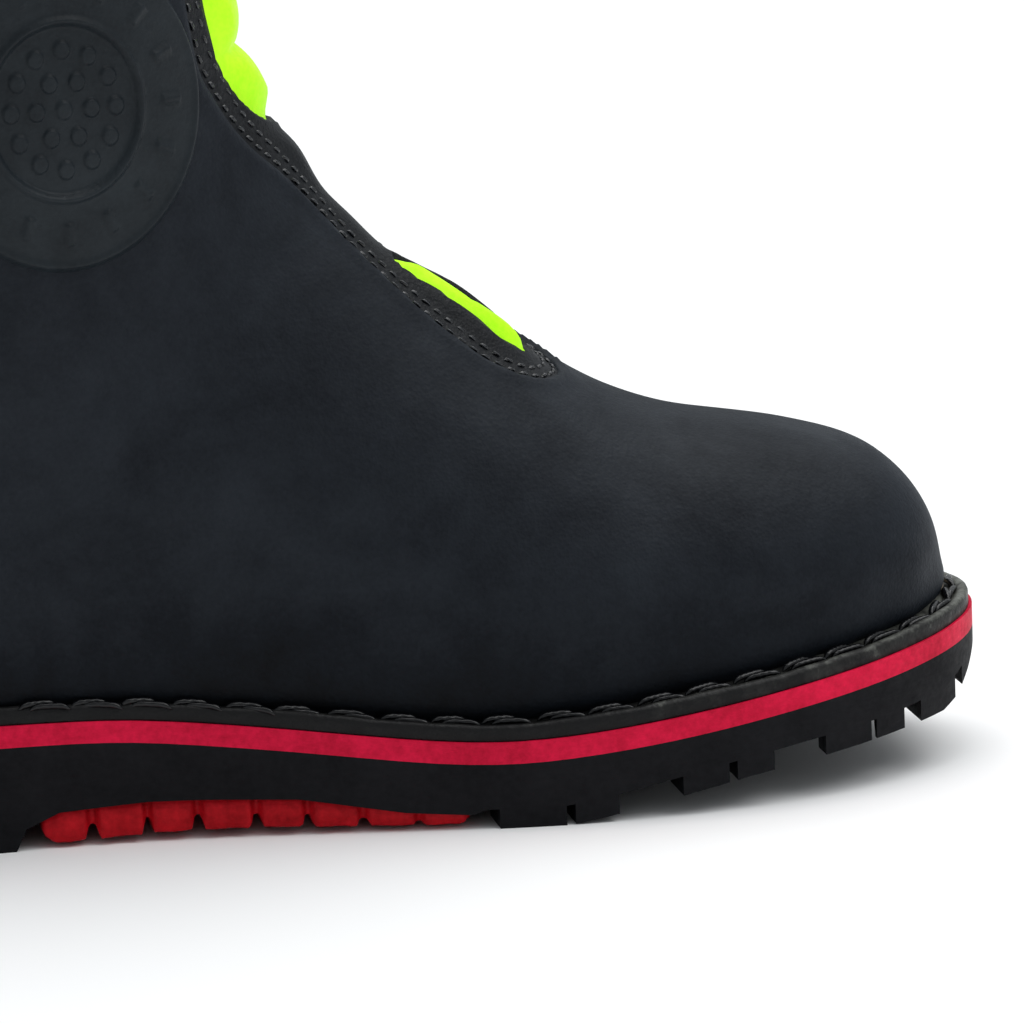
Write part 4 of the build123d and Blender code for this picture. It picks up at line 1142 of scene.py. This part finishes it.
# -------- Guard discs: rings, ticks and a field of low bumps --------
def disc_height(r, a):
    """Relief of the guard disc: r along the tall axis, a round the disc."""
    rim, bead_in, lip, well = DISC_RINGS
    h = smoothstep(0.0, 1.6, rim - r) + 0.45 * bead(r, (rim + bead_in) / 2 - 0.4, 0.9)
    h = h + 0.95 * bead(r, (lip + well) / 2 - 0.1, 0.8)
    h = h - 0.75 * (1 - smoothstep(well - 0.6, well + 0.3, r))
    across = ((a / (2 * math.pi) * DISC_BARS + 0.5) % 1.0 - 0.5) * 2 * math.pi * r / DISC_BARS
    off_bar = np.hypot(np.maximum(np.abs(across) - 0.5, 0),
                       np.maximum(np.abs(r - DISC_BAR_R) - 2.2, 0))
    h = h + 0.75 * (1 - smoothstep(0.15, 0.55, off_bar))
    x, z = r * np.cos(a), r * np.sin(a)
    for radius, count in DISC_BUMP_RINGS:
        for k in range(count):
            b = 2 * math.pi * k / count
            gap = np.hypot(x - radius * math.cos(b), z - radius * math.sin(b))
            h = h + 0.8 * smoothstep(0.0, 0.5, 1 - (gap / 2.35) ** 2)
    return h


def guard_disc(side, label):
    """Relief laid on the side of the ankle."""
    radii = np.arange(0.0, DISC_RINGS[0] + 0.2, 0.4)
    count = 240
    polar = np.array([(r, 2 * math.pi * k / count)
                      for r in radii for k in range(count if r > 0 else 1)])
    spots, normals = lifted([side_hit(DISC_X + r * DISC_SQUASH * math.cos(a),
                                      DISC_Z + r * math.sin(a), side) for r, a in polar], 0.0)
    normals[:, 0] *= 0.9
    normals /= np.linalg.norm(normals, axis=1)[:, None]
    top = spots + normals * (disc_height(polar[:, 0], polar[:, 1]) + 0.05)[:, None]
    low = spots + normals * -0.3
    faces = [(0, 1 + k, 1 + (k + 1) % count) for k in range(count)]
    faces += lattice(len(radii) - 1, count, flip=True, first=1)
    if side > 0:
        faces = [f[::-1] for f in faces]
    return thick_mesh("guard_disc_face_" + label, top, low, faces, DISC_RUBBER)


for side, label in ((-1, "lateral"), (1, "medial")):
    place(guard_disc(side, label), "boot", "guard_rubber", "guard_disc_" + label)


# -------- Ladder grip under the waist: rough moulded bars on a sunk web --------
def sole_half(x, side):
    """Distance of the sole's edge from the centre line."""
    table = np.array(SOLE_LATERAL if side < 0 else SOLE_MEDIAL, float)
    return float(np.interp(x, table[:, 0], np.abs(table[:, 1])))


def grip_share(x, v):
    """1 on a bar, 0 on the web; the grooves lean and wander a little."""
    place_x = x + 1.6 * abs(v) + 0.5 * math.sin(5 * v + x * 0.21)
    phase = (place_x - GRIP_BAR_X) / GRIP_PITCH % 1.0
    gap = min(phase, 1 - phase) * GRIP_PITCH
    return float(smoothstep(0.5, 1.6, gap))


def build_grip():
    """Closed block under the waist: walking face below, hidden roof above."""
    xs = np.arange(GRIP_SPAN[0], GRIP_SPAN[1] + 0.1, 0.6)
    vs = np.linspace(-1, 1, 121)
    bottom, top = [], []
    for x in xs:
        low = float(straight(GRIP_FACE, x))
        roof = float(straight(WAIST_EDGE, x))
        end = float(smoothstep(0, 3.0, min(x - GRIP_SPAN[0], GRIP_SPAN[1] - x)))
        for v in vs:
            share = grip_share(x, v)
            half = sole_half(x, v) - 2.6 + share * (1.5 + 0.35 * math.sin(x * 0.77) * (v < 0))
            edge = float(smoothstep(0, 0.05, 1 - abs(v)))
            rough = 0.25 * math.sin(x * 1.9 + v * 21) * math.sin(v * 33 - x * 0.8)
            face = low + 0.15 + (1 - share) * (roof - low - 1.6) * 0.6 + 0.3 * rough
            face += (1 - edge) * 0.7 * share + (1 - end) * (roof - low) * 0.3
            bottom.append((x, v * half, min(face, roof + 0.4)))
            top.append((x, v * half * 0.985, roof + 1.8))
    return thick_mesh("grip_ladder", np.array(bottom), np.array(top),
                      lattice(len(xs), len(vs), wrap_columns=False), RED_GRIP)


place(build_grip(), "boot", "rubber_red", "ladder_insert")


# -------- Welt with its rolled outer bead and the waxed lockstitch --------
def paired_curves():
    """Matching points on the sole outline and on the feather line, heel to heel."""
    sole = sole_ring(SOLE_LATERAL, SOLE_MEDIAL)
    feather = sole_ring(FEATHER_LATERAL, FEATHER_MEDIAL)
    sole_at, _, at = even_steps(sole, 1.16)
    feather_at = np.array([feather[np.argmin(np.hypot(*(feather - p).T))] for p in sole_at])
    kernel = np.ones(9) / 9
    for i in range(2):
        wrapped = np.concatenate([feather_at[-4:, i], feather_at[:, i], feather_at[:4, i]])
        feather_at[:, i] = np.convolve(wrapped, kernel, "valid")
    return sole_at, feather_at, at


def build_welt():
    """Strip swept round the sole: rolled outer bead, stitch channel, hidden inner edge."""
    sole_at, feather_at, at = paired_curves()
    across = feather_at - sole_at
    width = np.linalg.norm(across, axis=1)
    across /= width[:, None]
    points = []
    for p, d, w, s in zip(sole_at, across, width, at):
        turn = 2 * math.pi * s / at[-1]
        wobble = (0.35 * math.sin(9 * turn + 1.0) + 0.22 * math.sin(23 * turn)
                  + 0.12 * math.sin(61 * turn + 2))
        pinch = 0.25 * math.sin(2 * math.pi * s / 12.0)
        base = float(midsole_z(p[0] + d[0] * 3))
        channel = max(w - 3.0, 2.6)
        profile = [(0.75, -0.35), (0.35, 0.5), (0.25, 1.6), (0.55, 2.9 + 0.3 * wobble),
                   (1.3, 3.75 + 0.4 * wobble), (2.2, 4.0 + 0.45 * wobble),
                   (3.1, 3.7 + 0.4 * wobble), (3.9, 3.0 + 0.2 * wobble),
                   (channel, 2.55 + pinch * 0.5), (w - 1.3, 2.8), (w + 0.6, 3.2),
                   (w + 3.5, 3.2), (w + 3.5, 0.2)]
        last = 0.0
        for u, z in profile:
            u = max(u, last + 0.05)
            last = u
            spot = p + d * u
            points.append((spot[0], spot[1], base + z))
    return mesh_object("welt_strip", np.array(points),
                       lattice(len(sole_at), len(profile), wrap_rows=True, flip=True), WELT)


place(build_welt(), "boot", "welt_leather", "welt")


WELT_STITCH_PITCH = 11.6
WELT_STITCH_START_X = 82


def welt_stitch_rods():
    """Two crossed strands for each stitch, laid on the welt beside the upper."""
    feather = sole_ring(FEATHER_LATERAL, FEATHER_MEDIAL)
    line, heading, _ = even_steps(inset(feather, -2.3), WELT_STITCH_PITCH)
    spots, tangents, normals = [], [], []
    for p, t in zip(line, heading):
        if p[0] < WELT_STITCH_START_X:
            continue
        jitter = RNG.uniform(-1, 1, 4)
        outward = np.array([t[1], -t[0]])
        for strand in (-1, 1):
            q = (p + outward * (0.55 * strand + 0.2 * jitter[0])
                 + t * (1.3 * strand + 0.7 * jitter[1]))
            slope = float(midsole_z(q[0] + 1) - midsole_z(q[0] - 1)) / 2
            lift = -0.1 - 0.25 * strand + 0.2 * jitter[2]
            spots.append((q[0], q[1], float(feather_z(q[0])) + lift))
            turn = 0.15 * strand + 0.09 * jitter[3]
            ahead = t * math.cos(turn) + outward * math.sin(turn)
            tangents.append((ahead[0], ahead[1], ahead[0] * slope))
            normals.append((-slope, 0, 1))
    return np.array(spots), np.array(tangents), np.array(normals)


spots, tangents, normals = welt_stitch_rods()
welt_thread = rods("welt_lockstitch", spots, tangents, normals, 9.4, 0.76, WAXED, sink=0.0,
                   flat=0.9, sections=15, sides=10)
place(welt_thread, "boot", "waxed_thread", "welt_stitching")


# -------- Stage, light and camera --------
FLOOR_HALF, FLOOR_TONE = 6, 0.93
WORLD_STRENGTH = 0.52
SKY_STRENGTH = 2.05
TOE_LIGHT_WATTS = 4


floor_paint = Nodes("pale_floor", Roughness=0.9, Specular_IOR_Level=0.1)
floor_paint.colour(floor_paint.ramp(floor_paint.noise(3, 2, 0.5),
                                    [(0.3, (FLOOR_TONE,) * 3), (0.7, (FLOOR_TONE * 0.985,) * 3)]))
floor_mesh = bpy.data.meshes.new("floor")
floor_mesh.from_pydata([(x * FLOOR_HALF, y * FLOOR_HALF, 0) for x, y in (
    (-1, -1), (1, -1), (1, 1), (-1, 1))], [], [(0, 1, 2, 3)])
floor = bpy.data.objects.new("floor", floor_mesh)
bpy.context.scene.collection.objects.link(floor)
floor_mesh.materials.append(floor_paint.material)

world = bpy.data.worlds.new("studio")
bpy.context.scene.world = world
world.use_nodes = True
tree = world.node_tree
tree.nodes.clear()
world_out = tree.nodes.new("ShaderNodeOutputWorld")
mix = tree.nodes.new("ShaderNodeMixShader")
path = tree.nodes.new("ShaderNodeLightPath")
seen, lit = tree.nodes.new("ShaderNodeBackground"), tree.nodes.new("ShaderNodeBackground")
seen.inputs["Color"].default_value = (1, 1, 1, 1)
lit.inputs["Color"].default_value = (0.93, 0.97, 1.0, 1)
lit.inputs["Strength"].default_value = WORLD_STRENGTH
tree.links.new(path.outputs["Is Camera Ray"], mix.inputs[0])
tree.links.new(lit.outputs[0], mix.inputs[1])
tree.links.new(seen.outputs[0], mix.inputs[2])
tree.links.new(mix.outputs[0], world_out.inputs[0])


def lamp(name, kind, energy, location, rotation):
    """Light object in the scene; gives back its light data."""
    light = bpy.data.lights.new(name, kind)
    light.energy = energy
    holder = bpy.data.objects.new(name, light)
    holder.location, holder.rotation_euler = location, rotation
    bpy.context.scene.collection.objects.link(holder)
    return light


sky = lamp("overhead_diffuser", "SUN", SKY_STRENGTH, (0, 0, 0),
           (math.radians(-14), math.radians(8), 0))
sky.angle = math.radians(62)
TOE_LIGHT_FROM, TOE_LIGHT_AT = Vector((0.75, -0.5, 1.1)), Vector((0.12, 0.0, 0.08))
toe_light = lamp("toe_light", "AREA", TOE_LIGHT_WATTS, TOE_LIGHT_FROM,
                 (TOE_LIGHT_AT - TOE_LIGHT_FROM).to_track_quat("-Z", "Y").to_euler())
toe_light.size = 0.7

TARGET = Vector(((202.7 - HALF) * MM, 0.0, 62.0 * MM))
AZIMUTH, ELEVATION, ROLL = math.radians(10.0), math.radians(11.0), math.radians(2.2)
DISTANCE, SENSOR, VIEW_WIDTH = 1.4, 36.0, 0.23814
looking = Vector((math.sin(AZIMUTH) * math.cos(ELEVATION),
                  math.cos(AZIMUTH) * math.cos(ELEVATION), -math.sin(ELEVATION)))
camera_data = bpy.data.cameras.new("photo_camera")
camera_data.sensor_width = SENSOR
camera_data.lens = SENSOR * DISTANCE / VIEW_WIDTH
camera = bpy.data.objects.new("photo_camera", camera_data)
camera.location = TARGET - looking * DISTANCE
turn = looking.to_track_quat("-Z", "Y").to_matrix().to_4x4()
camera.rotation_euler = (turn @ Matrix.Rotation(-ROLL, 4, "Z")).to_euler()
bpy.context.scene.collection.objects.link(camera)
bpy.context.scene.camera = camera
bpy.context.scene.view_settings.view_transform = "Standard"
